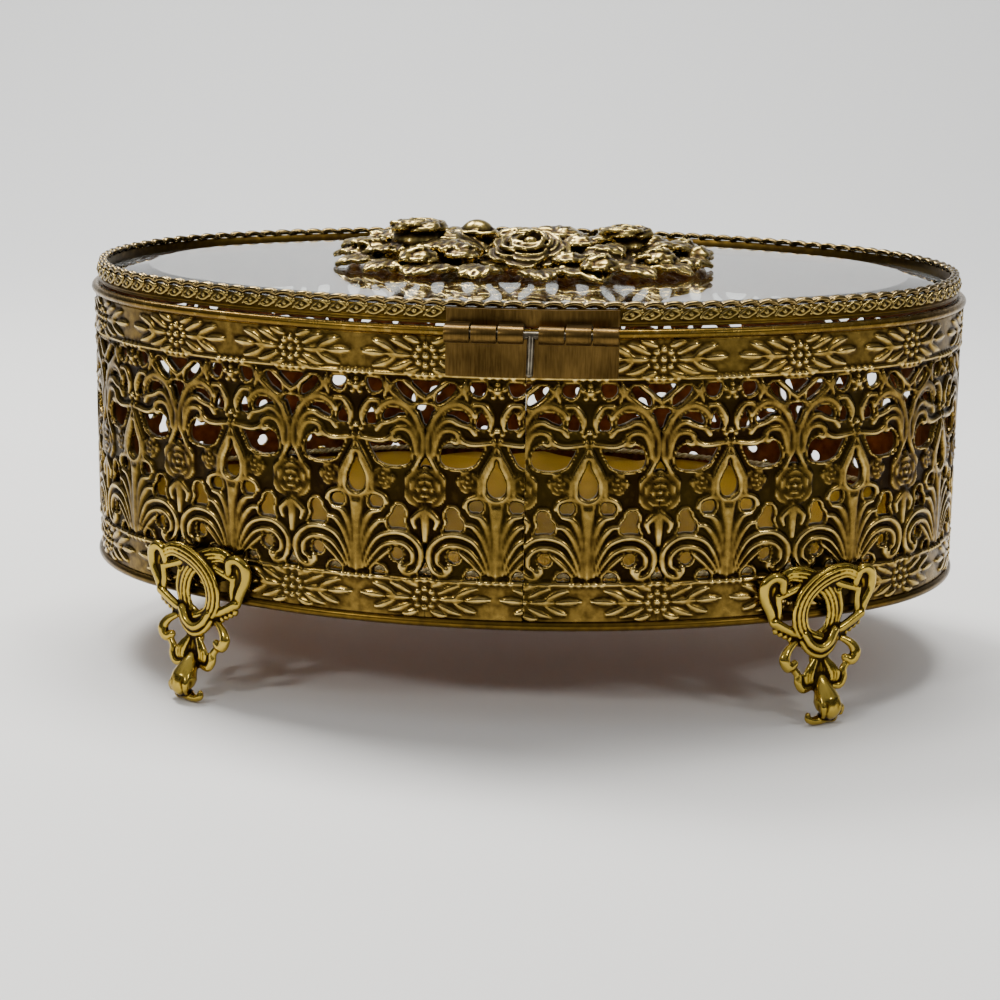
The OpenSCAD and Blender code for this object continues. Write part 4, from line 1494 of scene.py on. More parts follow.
@dataclass
class Lid:
    """The glass lid with its band, gallery and hinge leaf.

    Attributes:
        oval: Plan of the rims of the body.
        wrapper: The tree that repeats a pattern round the oval.
        nodes: The frame's nodes by name.
        band_inset: Distance of the face of the band in from the rims.
        hinge_right: Distance along the band of the right end of the hinge.
        hinge_gap: Length of the band that the hinge leaf takes up.
        link: Length that one scroll or crest takes up, about.
    """

    oval: Oval
    wrapper: WrapTree
    nodes: dict[str, Piece]
    band_inset: float = 1.75
    hinge_right: float = 22.9
    hinge_gap: float = 34.4
    link: float = 3.9

    def band(self) -> None:
        """The band with a plain rail at its foot and the ledge under the glass."""
        low, high = heights("lid_frame")
        inset = self.band_inset
        profile = [[-7.55, low + 0.02], [-inset - 0.1, low + 0.02]]
        profile += arc((-inset - 0.05, low + 0.12), 0.1, -90, 0, 3)
        profile += [[-inset + 0.05, low + 0.35]]
        profile += arc((-inset - 0.12, low + 0.75), 0.38, -70, 70, 8)
        profile += [[-inset - 0.02, low + 1.25], [-inset - 0.02, high - 0.3],
                    [-inset - 0.1, high - 0.02], [-2.5, high - 0.02], [-2.55, high - 0.1],
                    [-2.55, low + 0.58], [-7.55, low + 0.58]]
        band = oval_ring("lid_band", self.oval, profile)
        add_wear_and_shading(band.data, 2, 0.6)
        dress(band, "lid", "gilt_rim", RIM_GILT, replaces=("lid_frame", "lid_bead_line"))

    def scrolls(self) -> None:
        """The row of running scrolls on the band."""
        low, high = heights("lid_frame")
        bottom, top = low + 1.3, high - 0.05
        middle = (bottom + top) / 2
        reach = (top - bottom) / 2
        length = self.oval.length(self.band_inset) - self.hinge_gap
        count = round(length / self.link)
        pitch = length / count
        shell = Shell()
        wave = [(-1.0, -0.75), (-0.55, 0.15), (0.05, 0.8), (0.62, 0.62), (0.78, 0.1),
                (0.5, -0.25), (0.2, 0.0)]
        for sign in (1, -1):
            path = spline([(sign * u * pitch / 2, 0.12, middle + sign * v * reach)
                           for u, v in wave], 5)
            shell.tube(path, (0.34, 0.46, 0.3), 8, 0.8, (0, 1, 0))
        shell.ball((0, 0.2, middle), (0.55, 0.5, 0.55), 10, 6)
        shell.ball((pitch / 2, 0.15, top - 0.45), (0.5, 0.4, 0.42), 10, 6)
        link = fused("lid_scroll_link", shell, 0.16)
        add_wear_and_shading(link.data, 2, 1.0)
        path = oval_path("band_path", self.oval, self.band_inset, self.hinge_right)
        obj = self.wrapper.wrap("lid_band_scrolls", link.data, path, count, pitch / 2, pitch,
                                LINK_GILT)
        dress(obj, "lid", "gilt_rim")
        bpy.data.objects.remove(path)
        bpy.data.objects.remove(link)

    def gallery(self) -> None:
        """The row of curling crests over the edge of the glass."""
        low, high = heights("lid_gallery")
        inset = 2.55
        length = self.oval.length(inset)
        count = round(length / self.link)
        pitch = length / count
        rise = high - low
        shell = Shell()
        crest = [(-0.52, 0.1), (-0.3, 0.62), (0.02, 0.86), (0.32, 0.7), (0.42, 0.35),
                 (0.24, 0.2), (0.12, 0.38)]
        for depth in (-0.42, 0.42):
            path = spline([(u * pitch, depth, low + 0.12 + v * (rise - 0.5)) for u, v in crest],
                          5)
            shell.tube(path, (0.42, 0.52, 0.3), 8, 1.0)
        shell.tube(np.array([(-pitch / 2 - 0.3, 0, low + 0.3), (pitch / 2 + 0.3, 0, low + 0.3)]),
                   0.5, 8, 0.5, (0, 0, 1))
        link = fused("lid_crest_link", shell, 0.17)
        add_wear_and_shading(link.data, 2, 1.0)
        path = oval_path("gallery_path", self.oval, inset, 0.0)
        obj = self.wrapper.wrap("lid_gallery_crests", link.data, path, count, pitch / 2, pitch,
                                CREST_GILT)
        dress(obj, "lid", "gilt_rim", replaces=("lid_gallery",))
        bpy.data.objects.remove(path)
        bpy.data.objects.remove(link)

    def glass(self) -> None:
        """The bevelled pane with the two holes for the studs."""
        low, high = heights("glass_panel")
        stations = 288
        along = np.arange(stations) * self.oval.length() / stations
        angle = self.oval.angle_at(along)
        rings = [(3.0, low + 0.01), (2.88, low + 0.12), (2.88, low + 1.1),
                 (3.0, low + 1.21), (12.6, high - 0.03), (13.1, high - 0.01)]
        points = np.vstack([self.oval.place(angle, -d, z) for d, z in rings])
        index = np.arange(len(rings) * stations).reshape(len(rings), stations)
        ahead = np.roll(index, -1, 1)
        faces = np.stack([index[:-1], ahead[:-1], ahead[1:], index[1:]], -1).reshape(-1, 4)
        faces = [*faces.tolist(), index[0][::-1].tolist(), index[-1].tolist()]
        obj = new_object("glass_pane", new_mesh("glass_pane", points, faces, smooth=False))
        drill = Shell()
        for side in (-15.0, 15.0):
            drill.tube(np.array([(side, 0, low - 2.0), (side, 0, high + 2.0)]), 1.75, 32, 1.0,
                       (0, 1, 0))
        cutter = new_object("drill", drill.mesh("drill"))
        cut = obj.modifiers.new("holes", "BOOLEAN")
        cut.object = cutter
        cut.operation = "DIFFERENCE"
        cut.solver = "EXACT"
        settle(obj, "glass_pane")
        bpy.data.objects.remove(cutter)
        dress(obj, "lid", "clear_glass", GLASS, replaces=("glass_panel",))

    def fixings(self) -> None:
        """The studs, washers and nuts under the glass."""
        for name, finish in (("ornament_studs", HINGE_BRASS), ("ornament_washers", FIBRE),
                             ("ornament_nuts", HINGE_BRASS)):
            dress_node(self.nodes[name], finish)

    def hinge(self) -> None:
        """The two leaves and the pin with its tail."""
        for name, body in (("hinge_upper_leaf", "lid"), ("hinge_lower_leaf", "box")):
            soften_node(self.nodes[name], body, HINGE_BRASS, 0.12)
        soften_node(self.nodes["hinge_pin"], "box", PIN_METAL, 0.12)


# --- Castings ---


class FootPlace(Enum):
    """The four feet: the frame's node and the side of the casket."""

    REAR_RIGHT = ("foot_rear_right", 1, -1)
    REAR_LEFT = ("foot_rear_left", -1, -1)
    FRONT_RIGHT = ("foot_front_right", 1, 1)
    FRONT_LEFT = ("foot_front_left", -1, 1)


@dataclass
class Feet:
    """The four cast feet.

    A foot is drawn by distance along the wall, distance out and height, with the middle of
    the foot at 0.

    Attributes:
        oval: Plan of the rims.
        angle: Angle from +X of the wall's normal at a foot.
        ridges: Number of ridges of a reeded ribbon.
    """

    oval: Oval
    angle: float = math.radians(60.85)
    ridges: int = 4

    def ribbon(self, shell: Shell, points: Points, width: float,
               out: float, lift: float) -> None:
        """Adds a reeded ribbon, whose parallel ridges follow a line.

        Args:
            shell: The shell to add to.
            points: Middle line of the ribbon as distance along and height.
            width: Its width.
            out: Distance out of the ribbon's middle.
            lift: How far the middle of the line bulges out.
        """
        line = spline(points, 7)
        along = np.gradient(line, axis=0)
        along /= np.linalg.norm(along, axis=1)[:, None]
        across = np.stack([-along[:, 1], along[:, 0]], axis=1)
        bulge = out + lift * np.sin(np.linspace(0, math.pi, len(line)))
        taper = np.interp(np.linspace(0, 1, len(line)), [0, 0.25, 0.75, 1], [0.7, 1, 1, 0.6])
        for k in range(self.ridges):
            share = k / (self.ridges - 1) - 0.5
            side = line + across * (share * (width - 0.9) * taper)[:, None]
            path = np.stack([side[:, 0], bulge - 0.6 * abs(share), side[:, 1]], axis=1)
            shell.tube(path, 0.47, 8)

    def side(self, shell: Shell, sign: int) -> None:
        """Adds one side of the foot."""
        def bar(points: Points, radii: Sequence[float],
                out: float = 1.4, flat: float = 0.8) -> None:
            """Adds a rounded bar, whose points may give their own distance out."""
            path = spline([(sign * p[0], out if len(p) < 3 else p[2], p[1]) for p in points],
                          6)
            shell.tube(path, radii, 10, flat, (0, 1, 0))

        bar([(8.6, 27.6, 1.6), (8.9, 29.6, 1.7), (10.6, 30.5, 1.7), (12.4, 29.2, 1.5),
             (12.6, 26.4, 1.3), (11.2, 23.4, 1.3), (10.2, 20.8, 1.2)],
            (0.8, 1.1, 1.2, 1.1, 0.9))
        bar([(10.6, 29.0, 0.9), (11.0, 26.5, 0.9), (10.3, 22.0, 0.9)], (1.5, 1.7, 1.0), 0.9,
            0.35)
        bar([(9.4, 26.2), (6.4, 27.2), (3.2, 28.4)], (0.8, 0.85, 0.8), 1.3)
        bar([(9.5, 26.4), (9.2, 23.6), (9.6, 21.6)], (0.75, 0.75, 0.8), 1.3)
        bar([(10.2, 21.0), (6.6, 19.0), (3.6, 17.6), (1.0, 15.9)], (1.1, 1.0, 1.0, 0.9), 1.5)
        bar([(4.6, 26.2), (5.2, 22.5), (4.2, 19.2)], (0.7, 0.75, 0.8), 1.2)
        for k in range(7):
            share = k / 6
            shell.ball((sign * (3.4 + 6.4 * share), 1.3 - 0.2 * share, 15.7 + 3.6 * share),
                       (0.62, 0.7, 0.95), 10, 6)
        bar([(5.4, 16.4, 1.6), (7.4, 15.2, 2.3), (8.4, 13.4, 2.7), (7.5, 11.8, 2.8),
             (6.0, 12.4, 2.6)], (0.7, 1.0, 1.25, 1.2, 0.9))
        bar([(6.9, 11.8, 2.6), (5.4, 10.2, 2.9), (5.3, 8.4, 3.2), (4.3, 7.0, 3.4),
             (2.4, 7.2, 3.3)], (0.8, 0.9, 0.95, 0.9, 0.7))
        for k in range(3):
            reach = 2.3 + 0.75 * k
            bar([(0.7 + 0.2 * k, 13.2, 2.4), (reach - 0.3, 10.6, 3.2), (reach, 8.8, 3.4),
                 (reach - 1.0, 7.6, 3.3), (0.8, 7.4, 3.2)], (0.45, 0.5, 0.45), 2.8, 0.9)

    def shell(self) -> Shell:
        """All the overlapping shapes of a foot whose small curl points to -t."""
        shell = Shell()
        for sign in (-1, 1):
            self.side(shell, sign)
        self.ribbon(shell, [(0.6, 16.4), (-3.6, 18.4), (-4.9, 22.4), (-3.4, 26.6),
                            (0.6, 29.6), (5.6, 30.6), (9.4, 28.9)], 3.6, 1.9, 0.7)
        self.ribbon(shell, [(-0.4, 16.6), (2.8, 18.6), (3.6, 22.4), (2.0, 26.6),
                            (-2.2, 29.8), (-6.4, 30.8), (-9.2, 29.4)], 3.4, 1.35, 0.3)
        collar = [(-3.6, 1.9, 18.2), (-2.2, 2.3, 16.0), (0.0, 2.5, 15.0), (2.2, 2.3, 16.0),
                  (3.6, 1.9, 18.2)]
        shell.tube(spline(collar, 7), 1.05, 10)
        shell.tube(spline([(x * 1.12, y - 0.1, z - 1.5) for x, y, z in collar], 7), 0.75, 10)
        for k in range(5):
            x = (k - 2) * 0.85
            shell.tube(spline([(x * 0.9, 1.6, 15.0), (x, 2.4, 11.5), (x * 0.7, 3.1, 8.0),
                               (x * 0.6, 3.7, 6.6)], 6), 0.62, 8)
        shell.tube(spline([(0.0, 3.2, 8.6), (0.0, 4.4, 7.0), (0.1, 5.6, 5.0), (0.2, 6.2, 3.0),
                           (0.0, 5.6, 1.5)], 7), (1.3, 2.1, 2.9, 2.6, 1.3), 18, 0.85,
                   (0, 1, 0))
        for x in (-1.5, 0.0, 1.5):
            shell.tube(spline([(x * 0.5, 4.2, 8.2), (x, 6.4, 5.8), (x * 1.15, 7.4, 3.6),
                               (x * 0.8, 6.6, 1.6)], 6), (0.5, 0.8, 0.75, 0.5), 8)
        shell.tube(spline([(0.4, 5.6, 1.6), (-2.6, 6.0, 1.0), (-4.4, 6.2, 1.5),
                           (-4.6, 6.1, 2.4)], 6), (1.4, 0.95, 0.8, 0.6), 10)
        shell.tube(spline([(1.0, 5.8, 3.4), (2.9, 6.0, 3.2), (3.2, 5.8, 2.2)], 6),
                   (1.3, 1.1, 0.8), 10)
        shell.tube(np.array([(-1.2, 5.5, 1.2), (1.6, 5.5, 1.2)]), 1.15, 12)
        return shell

    def build(self) -> None:
        """Casts a foot and places it four times."""
        drawn = self.shell()
        for place in FootPlace:
            node, east, north = place.value
            angle = math.atan2(north * math.sin(self.angle), east * math.cos(self.angle))
            curl = 1 if east * north < 0 else -1

            def stand(points: Grid) -> Grid:
                """Carries the drawn foot to its place and bends it to the wall."""
                turned = self.oval.place(np.array(angle), 0.0, 0.0)
                out = np.array([math.cos(angle), math.sin(angle), 0.0])
                tangent = np.array([-math.sin(angle), math.cos(angle), 0.0])
                bend = points[:, :1] ** 2 / (2 * self.oval.side_radius)
                high = np.clip((points[:, 2:] - 12) / 8, 0, 1)
                depth = np.maximum(points[:, 1:2], 0.02) - bend * high
                return (turned + tangent * points[:, :1] * curl + out * depth
                        + np.array([0, 0, 1.0]) * points[:, 2:])

            foot = fused(node + "_cast", drawn.moved(stand), 0.24)
            face_outwards(foot.data)
            add_wear_and_shading(foot.data, 6, 1.1)
            dress(foot, "box", "cast_gilt", CAST_GILT, replaces=(node,))


@dataclass
class Bouquet:
    """The cast bouquet on the glass: leaves, roses, a bud and small rosettes.

    Attributes:
        glass: Height of the top of the glass.
    """

    glass: float

    def leaf(self, shell: Shell, root: Sequence[float], heading: float, length: float,
             width: float, rise: float, droop: float) -> None:
        """Adds a veined leaf with a wavy edge.

        Args:
            shell: The shell to add to.
            root: Position of its foot as x, y and height over the glass.
            heading: Direction of its tip in degrees.
            length: Its length.
            width: Its width.
            rise: Height of its middle over its foot.
            droop: Height of its tip over its foot.
        """
        rows, cols = 17, 11
        t = np.linspace(0, 1, rows)[:, None]
        v = np.linspace(-1, 1, cols)[None]
        half = width * 0.62 * np.sin(math.pi * t**0.7) ** 0.7 * (1 + 0.08 * np.sin(t * 25)) + 0.4
        x = length * t + 0 * v
        y = half * v
        veins = 0.16 * np.cos(26 * t - 9 * np.abs(v)) * np.minimum(np.abs(v) * 3, 1)
        z = (rise * np.sin(math.pi * t) + droop * t - 0.5 * np.abs(v) ** 2
             - 0.45 * np.exp(-(v / 0.16) ** 2) + 1.5 * veins + 0.2 * np.sin(t * 18) * np.abs(v))
        turn = math.radians(heading)
        front = np.stack([root[0] + x * math.cos(turn) - y * math.sin(turn),
                          root[1] + x * math.sin(turn) + y * math.cos(turn),
                          self.glass + root[2] + 0.9 + z], axis=-1)
        front[..., 2] = np.maximum(front[..., 2], self.glass + 0.8)
        shell.sheet(front, 1.05)

    def petal(self, shell: Shell, centre: Sequence[float], heading: float, reach: float,
              width: float, foot: float, tip: float, curl: float) -> None:
        """Adds a cupped petal.

        Args:
            shell: The shell to add to.
            centre: Middle of the flower.
            heading: Direction of the petal in degrees.
            reach: Distance of its edge from the middle.
            width: Half of the angle it covers, in degrees.
            foot: Height of its foot over the middle.
            tip: Height of its edge over the middle.
            curl: How far the edge rolls down and out.
        """
        rows, cols = 9, 11
        t = np.linspace(0.12, 1, rows)[:, None]
        v = np.linspace(-1, 1, cols)[None]
        turn = np.radians(heading + width * v * np.minimum(1, 0.55 + 0.9 * t))
        edge = 1 - 0.22 * np.abs(v) ** 2.5 + 0.03 * np.sin(6 * v)
        far = reach * t**0.85 * edge + 0.96 * curl * np.maximum(t - 0.75, 0)
        z = (foot + (tip - foot) * (t**1.2 + 0.07 * v * t)
             - 3 * curl * np.maximum(t - 0.8, 0) * (0.4 + 0.6 * v**2))
        front = np.stack([centre[0] + far * np.cos(turn), centre[1] + far * np.sin(turn),
                          centre[2] + z + 0 * v], axis=-1)
        shell.sheet(front, 0.95)

    def rose(self, shell: Shell, centre: Sequence[float], radius: float, height: float,
             turn: float, whorls: int, cup: float = 0.5) -> None:
        """Adds an open rose.

        Args:
            shell: The shell to add to.
            centre: Middle of its foot.
            radius: Its radius.
            height: Its height.
            turn: Turn of the petals, in degrees.
            whorls: Rings of petals.
            cup: Height of the edge of the outer petals, as a share of the height.
        """
        counts = (6, 5, 4, 3, 3)
        for k in range(whorls):
            share = k / (whorls - 1)
            number = counts[k]
            for j in range(number):
                heading = turn + 360 * j / number + 37 * k
                reach = radius * (1 - 0.64 * share) * (1 + 0.05 * math.sin(7 * j + k))
                self.petal(shell, centre, heading, reach, 200 / number,
                           height * (0.02 + 0.1 * share),
                           height * (cup + (0.94 - cup) * share**0.7)
                           * (1 + 0.06 * math.sin(5 * j + k)),
                           (1 - share) * radius * 0.10)
        tip = centre[2] + height * 0.9
        shell.ball((centre[0], centre[1], tip - height * 0.16),
                   (radius * 0.16, radius * 0.16, height * 0.18), 10, 8)
        shell.tube(np.array([centre, (centre[0], centre[1], tip - height * 0.3)]),
                   (radius * 0.42, radius * 0.2), 12)

    def base(self) -> Shell:
        """The leaves and stems that carry the flowers."""
        shell = Shell()
        leaves = [
            ((-30, 0, 0.4), 170, 13, 7.5, 1.8, 1.0), ((-31, 4, 0.2), 140, 11, 6.5, 1.6, 1.6),
            ((-30, -3, 0.1), 205, 12, 7, 1.5, 0.4), ((-24, -7, 0.1), 222, 13, 7, 1.4, 0.2),
            ((-20, -9, 0.1), 250, 12, 6.5, 1.2, 0.2), ((-14, -10, 0.2), 232, 14, 7.5, 1.3, 0.2),
            ((-8, -11, 0.1), 262, 12, 7, 1.2, 0.2), ((-5, -13, 0.2), 225, 11, 6.5, 1.3, 0.3),
            ((3, -14, 0.1), 285, 11, 7, 1.2, 0.2), ((8, -13, 0.2), 312, 14, 7.5, 1.4, 0.3),
            ((13, -12, 0.1), 288, 14, 7, 1.2, 0.3), ((19, -9, 0.2), 318, 13, 7, 1.4, 0.3),
            ((26, -5, 0.2), 330, 12, 7, 1.6, 0.3), ((30, 0, 0.3), 350, 11, 7, 1.8, 0.8),
            ((30, 5, 0.3), 25, 12, 7, 1.8, 1.2), ((24, 9, 0.2), 48, 11, 6.5, 1.8, 1.4),
            ((14, 10, 0.3), 75, 11, 7, 2.2, 1.6), ((5, 9, 0.5), 100, 10, 7, 2.4, 2.0),
            ((-4, 10, 0.5), 82, 10, 6.5, 2.2, 1.8), ((-18, 9, 0.3), 118, 10, 6.5, 2.0, 1.8),
            ((-14, -3, 2.2), 195, 11, 6.5, 1.8, 1.5), ((-9, 2, 2.6), 150, 11, 6.5, 2.0, 2.2),
            ((9, 1, 2.4), 30, 11, 7, 2.0, 2.0), ((10, -6, 2.0), 345, 12, 7, 1.8, 0.8),
            ((3, 3, 3.0), 75, 10, 7, 2.2, 2.4), ((22, -4, 1.8), 345, 11, 6, 1.6, 1.0),
            ((-26, -1, 2.0), 200, 10, 6, 1.4, 0.6), ((-20, 0, 2.0), 300, 10, 6, 1.4, 0.4),
            ((17, 2, 2.0), 250, 10, 6, 1.4, 0.6), ((-12, 5, 2.2), 60, 9, 6, 1.8, 1.6),
            ((-31, 2, 2.6), 175, 9, 7, 1.6, 0.8), ((-30, 6, 3.0), 120, 8, 6, 1.8, 1.4),
            ((-20, 6, 3.4), 40, 9, 7, 2.0, 2.0), ((-16, 1, 3.4), 260, 9, 7, 1.6, 0.8),
            ((-10, -3, 3.2), 215, 10, 7, 1.6, 0.8), ((-6, 4, 4.2), 20, 10, 7, 2.0, 1.6),
            ((8, 6, 4.2), 120, 9, 7, 2.0, 1.8), ((12, 4, 3.8), 345, 10, 7, 2.0, 1.4),
            ((14, -3, 3.2), 320, 10, 7, 1.8, 0.8), ((24, 0, 3.0), 20, 10, 7, 1.8, 1.2),
            ((28, 4, 3.0), 340, 9, 6, 1.6, 0.8), ((25, 8, 3.0), 70, 8, 6, 1.8, 1.2),
        ]
        for root, heading, length, width, rise, droop in leaves:
            self.leaf(shell, root, heading, length, width, rise, droop)
        mid = self.glass + 1.1
        stems = [[(-34, 1), (-22, 2), (-12, -3), (0, -6), (12, -5), (24, 1), (34, 3)],
                 [(-22, -12), (-14, -7), (-4, -8)], [(4, -8), (17, -18)],
                 [(-24, 3), (-11.5, 9), (0, 6), (12, 7), (21.5, 4)], [(21, 4), (34, 9)],
                 [(-15, 0), (-15, 4)], [(15, 0), (15, 5)]]
        for stem in stems:
            shell.tube(spline([(x, y, mid) for x, y in stem], 8), 1.15, 10, 0.9)
        mounds = [(-15, 0, 4.0), (15, 0, 4.0), (-28, 1, 3.4), (27, 3, 3.4), (1, 2, 5.4),
                  (-4, -5, 4.0), (8, -6, 4.0), (-21, -6, 3.0), (20, -9, 3.0), (-14, 6, 4.2),
                  (13, 7, 4.4)]
        for x, y, top in mounds:
            shell.ball((x, y, self.glass + top / 2 + 0.5), (5.0, 4.2, top / 2), 16, 10)
        for number, (x, y, foot, radius) in enumerate((
                (-29, 6, 3.6, 3.6), (-13, -9, 1.8, 3.6), (-17, 3, 4.0, 3.4), (8, 9, 4.6, 3.8),
                (10, -12, 1.8, 3.6), (12, -1, 4.0, 3.6), (27, 4, 3.8, 3.6), (-3, 3, 5.0, 3.6),
                (37, 3, 1.8, 3.2), (-38, 5, 1.8, 3.2))):
            self.rose(shell, (x, y, self.glass + foot), radius, 3.4, 23 * number, 3, 0.7)
        berries = [(-38, 2, 3.5), (-35, 6, 4.5), (-28, 8, 4.2), (-16, -6, 3.5), (-27, -14, 2.6),
                   (-12, -16, 2.6), (9, -17, 3), (13, 2, 6), (6, 12, 6.5), (28, 12, 4.5),
                   (38, 5, 3.6), (36, -4, 3.2), (24, -12, 3.0), (-3, 6, 7.0), (10, 5, 6.5)]
        for x, y, top in berries:
            centre = (x, y, self.glass + top - 1.2)
            shell.ball(centre, 1.15, 12, 8)
            for k in range(5):
                turn = k * 2 * math.pi / 5 + x
                shell.ball((x + 1.5 * math.cos(turn), y + 1.5 * math.sin(turn),
                            centre[2] - 0.3), 0.95, 10, 6)
            shell.tube(np.array([(x, y, mid), centre]), (1.5, 0.9), 10)
        return shell

    def cast(self, name: str, shell: Shell, node: str, voxel: float = 0.33) -> None:
        """Fuses one casting and dresses it."""
        obj = fused(name, shell, voxel)
        face_outwards(obj.data)
        add_wear_and_shading(obj.data, 5, 1.0)
        dress(obj, "lid", "cast_gilt", BOUQUET_GILT, replaces=(node,))

    def build(self) -> None:
        """Casts the base and each flower."""
        glass = self.glass
        self.cast("ornament_leaves", self.base(), "ornament_leaf_base")
        middle, lean = Shell(), math.radians(17)
        self.rose(middle, (0, 0, 0), 8.8, 5.2, 20, 5, 0.42)
        middle = middle.moved(lambda p: np.stack([
            p[..., 0] + 1.5, p[..., 1] * math.cos(lean) - p[..., 2] * math.sin(lean) - 6.8,
            p[..., 1] * math.sin(lean) + p[..., 2] * math.cos(lean) + glass + 3.0], -1))
        middle.ball((1.5, -5.8, glass + 2.9), (7.0, 5.6, 2.2), 24, 12)
        self.cast("rose_middle_cast", middle, "rose_middle", 0.28)
        for name, node, place, radius, top, turn in (
                ("rose_left_cast", "rose_left", (-24, 3), 6.2, 94.3, 10),
                ("rose_right_cast", "rose_right", (21.5, 4), 5.8, 93.7, 50)):
            shell = Shell()
            self.rose(shell, (*place, top - 4.4), radius * 0.9, 4.2, turn, 4, 0.94)
            half = (top - 1.6 - glass) / 2
            shell.ball((*place, glass + half + 0.4), (radius * 0.98, radius * 0.94, half),
                       28, 16)
            for k in range(5):
                self.petal(shell, (*place, top - 5.4), turn + 72 * k, radius * 0.98, 40,
                           0.2, 4.2, 0.3)
            for k in range(7):
                self.leaf(shell, (place[0], place[1], top - glass - 6.9), turn + 51 * k,
                          11.0, 7, 1.8, -2.0 - 0.6 * (k % 2))
            self.cast(name, shell, node, 0.28)
        bud = Shell()
        bud.ball((-11.5, 9, 90.0), (4.0, 3.8, 3.6), 22, 14)
        for k in range(4):
            self.petal(bud, (-11.5, 9, 87.4), 45 + 90 * k, 4.4, 48, 0.4, 4.0, -0.3)
        for k in range(5):
            self.leaf(bud, (-11.5, 9, 86.4 - glass), 20 + 72 * k, 9, 6, 1.6, -0.8)
        self.cast("rose_bud_cast", bud, "rose_bud", 0.28)
        groups = (("rosettes_left_cast", "rosettes_left", ((-33, 1), (-22, -12))),
                  ("rosettes_right_cast", "rosettes_right", ((29, -6), (17, -19), (34, 10))))
        for name, node, places in groups:
            shell = Shell()
            for number, (x, y) in enumerate(places):
                self.rose(shell, (x, y, glass + 1.5), 4.2, 4.2, 30 * number, 4)
            self.cast(name, shell, node, 0.28)


# --- Picture ---


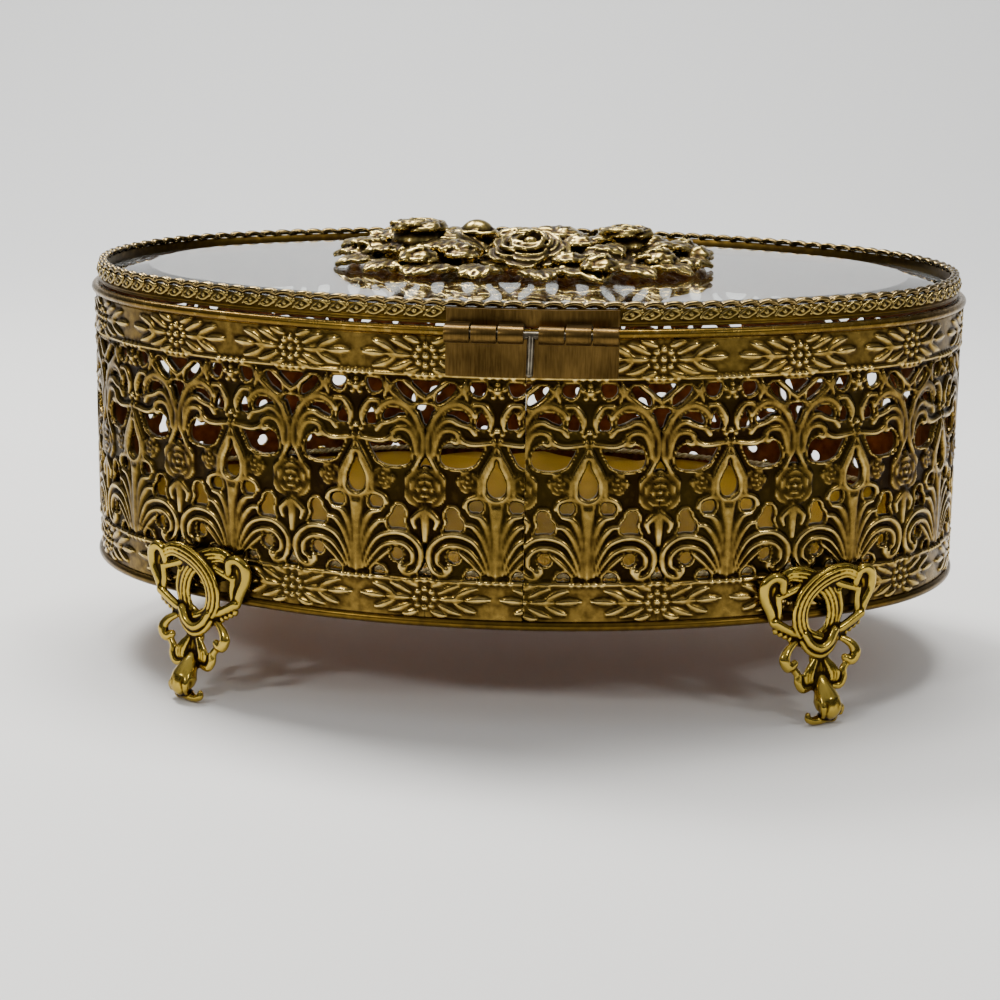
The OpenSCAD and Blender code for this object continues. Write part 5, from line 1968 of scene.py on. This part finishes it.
@dataclass(frozen=True)
class Studio:
    """The camera, the floor, the backdrop and the lights."""

    distance: float = 515.0
    elevation: float = 13.35
    yaw: float = 4.5
    roll: float = 0.7
    lens: float = 82.8
    target: tuple[float, float, float] = (-5.05, 3.28, 31.9)

    def camera(self) -> None:
        """Places the camera."""
        tilt, turn = math.radians(self.elevation), math.radians(self.yaw)
        back = Vector((math.sin(turn) * math.cos(tilt), -math.cos(turn) * math.cos(tilt),
                       math.sin(tilt)))
        place = (Vector(self.target) + back * self.distance) * MM
        data = bpy.data.cameras.new("camera")
        data.lens = self.lens
        data.sensor_width = 36.0
        data.clip_start = 0.01
        camera = bpy.data.objects.new("camera", data)
        bpy.context.scene.collection.objects.link(camera)
        camera.matrix_world = (Matrix.Translation(place)
                               @ back.to_track_quat("Z", "Y").to_matrix().to_4x4()
                               @ Matrix.Rotation(math.radians(self.roll), 4, "Z"))
        bpy.context.scene.camera = camera

    def floor(self) -> None:
        """A pale floor that curves up into the backdrop, with painted shade that darkens it
        towards the back.
        """
        profile = [(-2.2, 0.0), (0.5, 0.0)]
        profile += [(0.5 + 0.5 * math.sin(t), 0.5 - 0.5 * math.cos(t))
                    for t in np.linspace(0, math.pi / 2, 16)[1:]]
        profile.append((1.0, 2.6))
        points = [(x, y, z) for x in (-2.5, 2.5) for y, z in profile]
        count = len(profile)
        faces = [[k, k + count, k + count + 1, k + 1] for k in range(count - 1)]
        mesh = bpy.data.meshes.new("floor")
        mesh.from_pydata(points, [], faces)
        mesh.polygons.foreach_set("use_smooth", [True] * len(faces))
        floor = new_object("studio_floor", mesh)
        bench = NodeBench("studio_floor")
        parts = bench.add("SeparateXYZ")
        bench.join(bench.place((1, 1, 1)), parts.inputs[0])
        # Painted shade: the colour darkens from front to back along +Y, standing in for light
        # that falls off towards the backdrop.
        bench.join(bench.ramp(parts.outputs["Y"], [(0.12, (0.80, 0.785, 0.745)),
                                                   (0.6, (0.67, 0.67, 0.655))]),
                   bench.shader.inputs["Base Color"])
        bench.shader.inputs["Roughness"].default_value = 0.6
        floor.data.materials.append(bench.material)

    def light(self, name: str, place: Sequence[float], size: Sequence[float],
              power: float) -> None:
        """Adds a rectangular soft light that faces the middle of the casket.

        Args:
            name: Its name.
            place: Where it is, in metres.
            size: Its width and height in metres.
            power: Its power in watts.
        """
        data = bpy.data.lights.new(name, "AREA")
        data.shape = "RECTANGLE"
        data.size, data.size_y = size
        data.energy = power
        lamp = bpy.data.objects.new(name, data)
        bpy.context.scene.collection.objects.link(lamp)
        away = Vector(place) - Vector((0.0, 0.0, 0.05))
        lamp.matrix_world = (Matrix.Translation(Vector(place))
                             @ away.to_track_quat("Z", "Y").to_matrix().to_4x4())

    def sky(self) -> None:
        """The light from all round: dark near the floor and pale overhead."""
        world = bpy.data.worlds.new("studio")
        world.use_nodes = True
        nodes, links = world.node_tree.nodes, world.node_tree.links
        where = nodes.new("ShaderNodeTexCoord")
        parts = nodes.new("ShaderNodeSeparateXYZ")
        ramp = nodes.new("ShaderNodeValToRGB")
        links.new(where.outputs["Generated"], parts.inputs[0])
        links.new(parts.outputs[2], ramp.inputs[0])
        links.new(ramp.outputs[0], nodes["Background"].inputs[0])
        ramp.color_ramp.elements[0].position = 0.15
        ramp.color_ramp.elements[0].color = (0.030, 0.030, 0.034, 1.0)
        ramp.color_ramp.elements[1].position = 0.95
        ramp.color_ramp.elements[1].color = (0.55, 0.56, 0.60, 1.0)
        bpy.context.scene.world = world

    def build(self) -> None:
        """Builds the whole studio."""
        self.camera()
        self.floor()
        self.light("key", (-0.42, 0.38, 0.85), (0.3, 0.3), 11.5)
        self.light("top", (0.05, 0.22, 1.05), (0.5, 0.4), 12.0)
        self.light("left lamp", (-0.55, -0.7, 0.6), (0.12, 0.12), 2.2)
        self.light("right lamp", (0.7, -0.6, 0.55), (0.12, 0.12), 1.6)
        self.sky()


def main() -> None:
    """Builds the scene."""
    logging.basicConfig(level=logging.INFO, format="%(name)s: %(message)s")
    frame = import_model()
    low, high = (np.array(v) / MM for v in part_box("filigree_wall"))
    oval = Oval((high[0] - low[0]) / 2 + Body.border_inset,
                (high[1] - low[1]) / 2 + Body.border_inset)
    wrapper = WrapTree()
    body = Body(oval, wrapper, frame["nodes"])
    body.wall()
    body.rims()
    body.floor()
    body.cord()
    body.pad()
    lid = Lid(oval, wrapper, frame["nodes"])
    lid.band()
    lid.scrolls()
    lid.gallery()
    lid.glass()
    lid.fixings()
    lid.hinge()
    Feet(oval).build()
    Bouquet(heights("glass_panel")[1]).build()
    Studio().build()


if __name__ == "__main__":
    main()
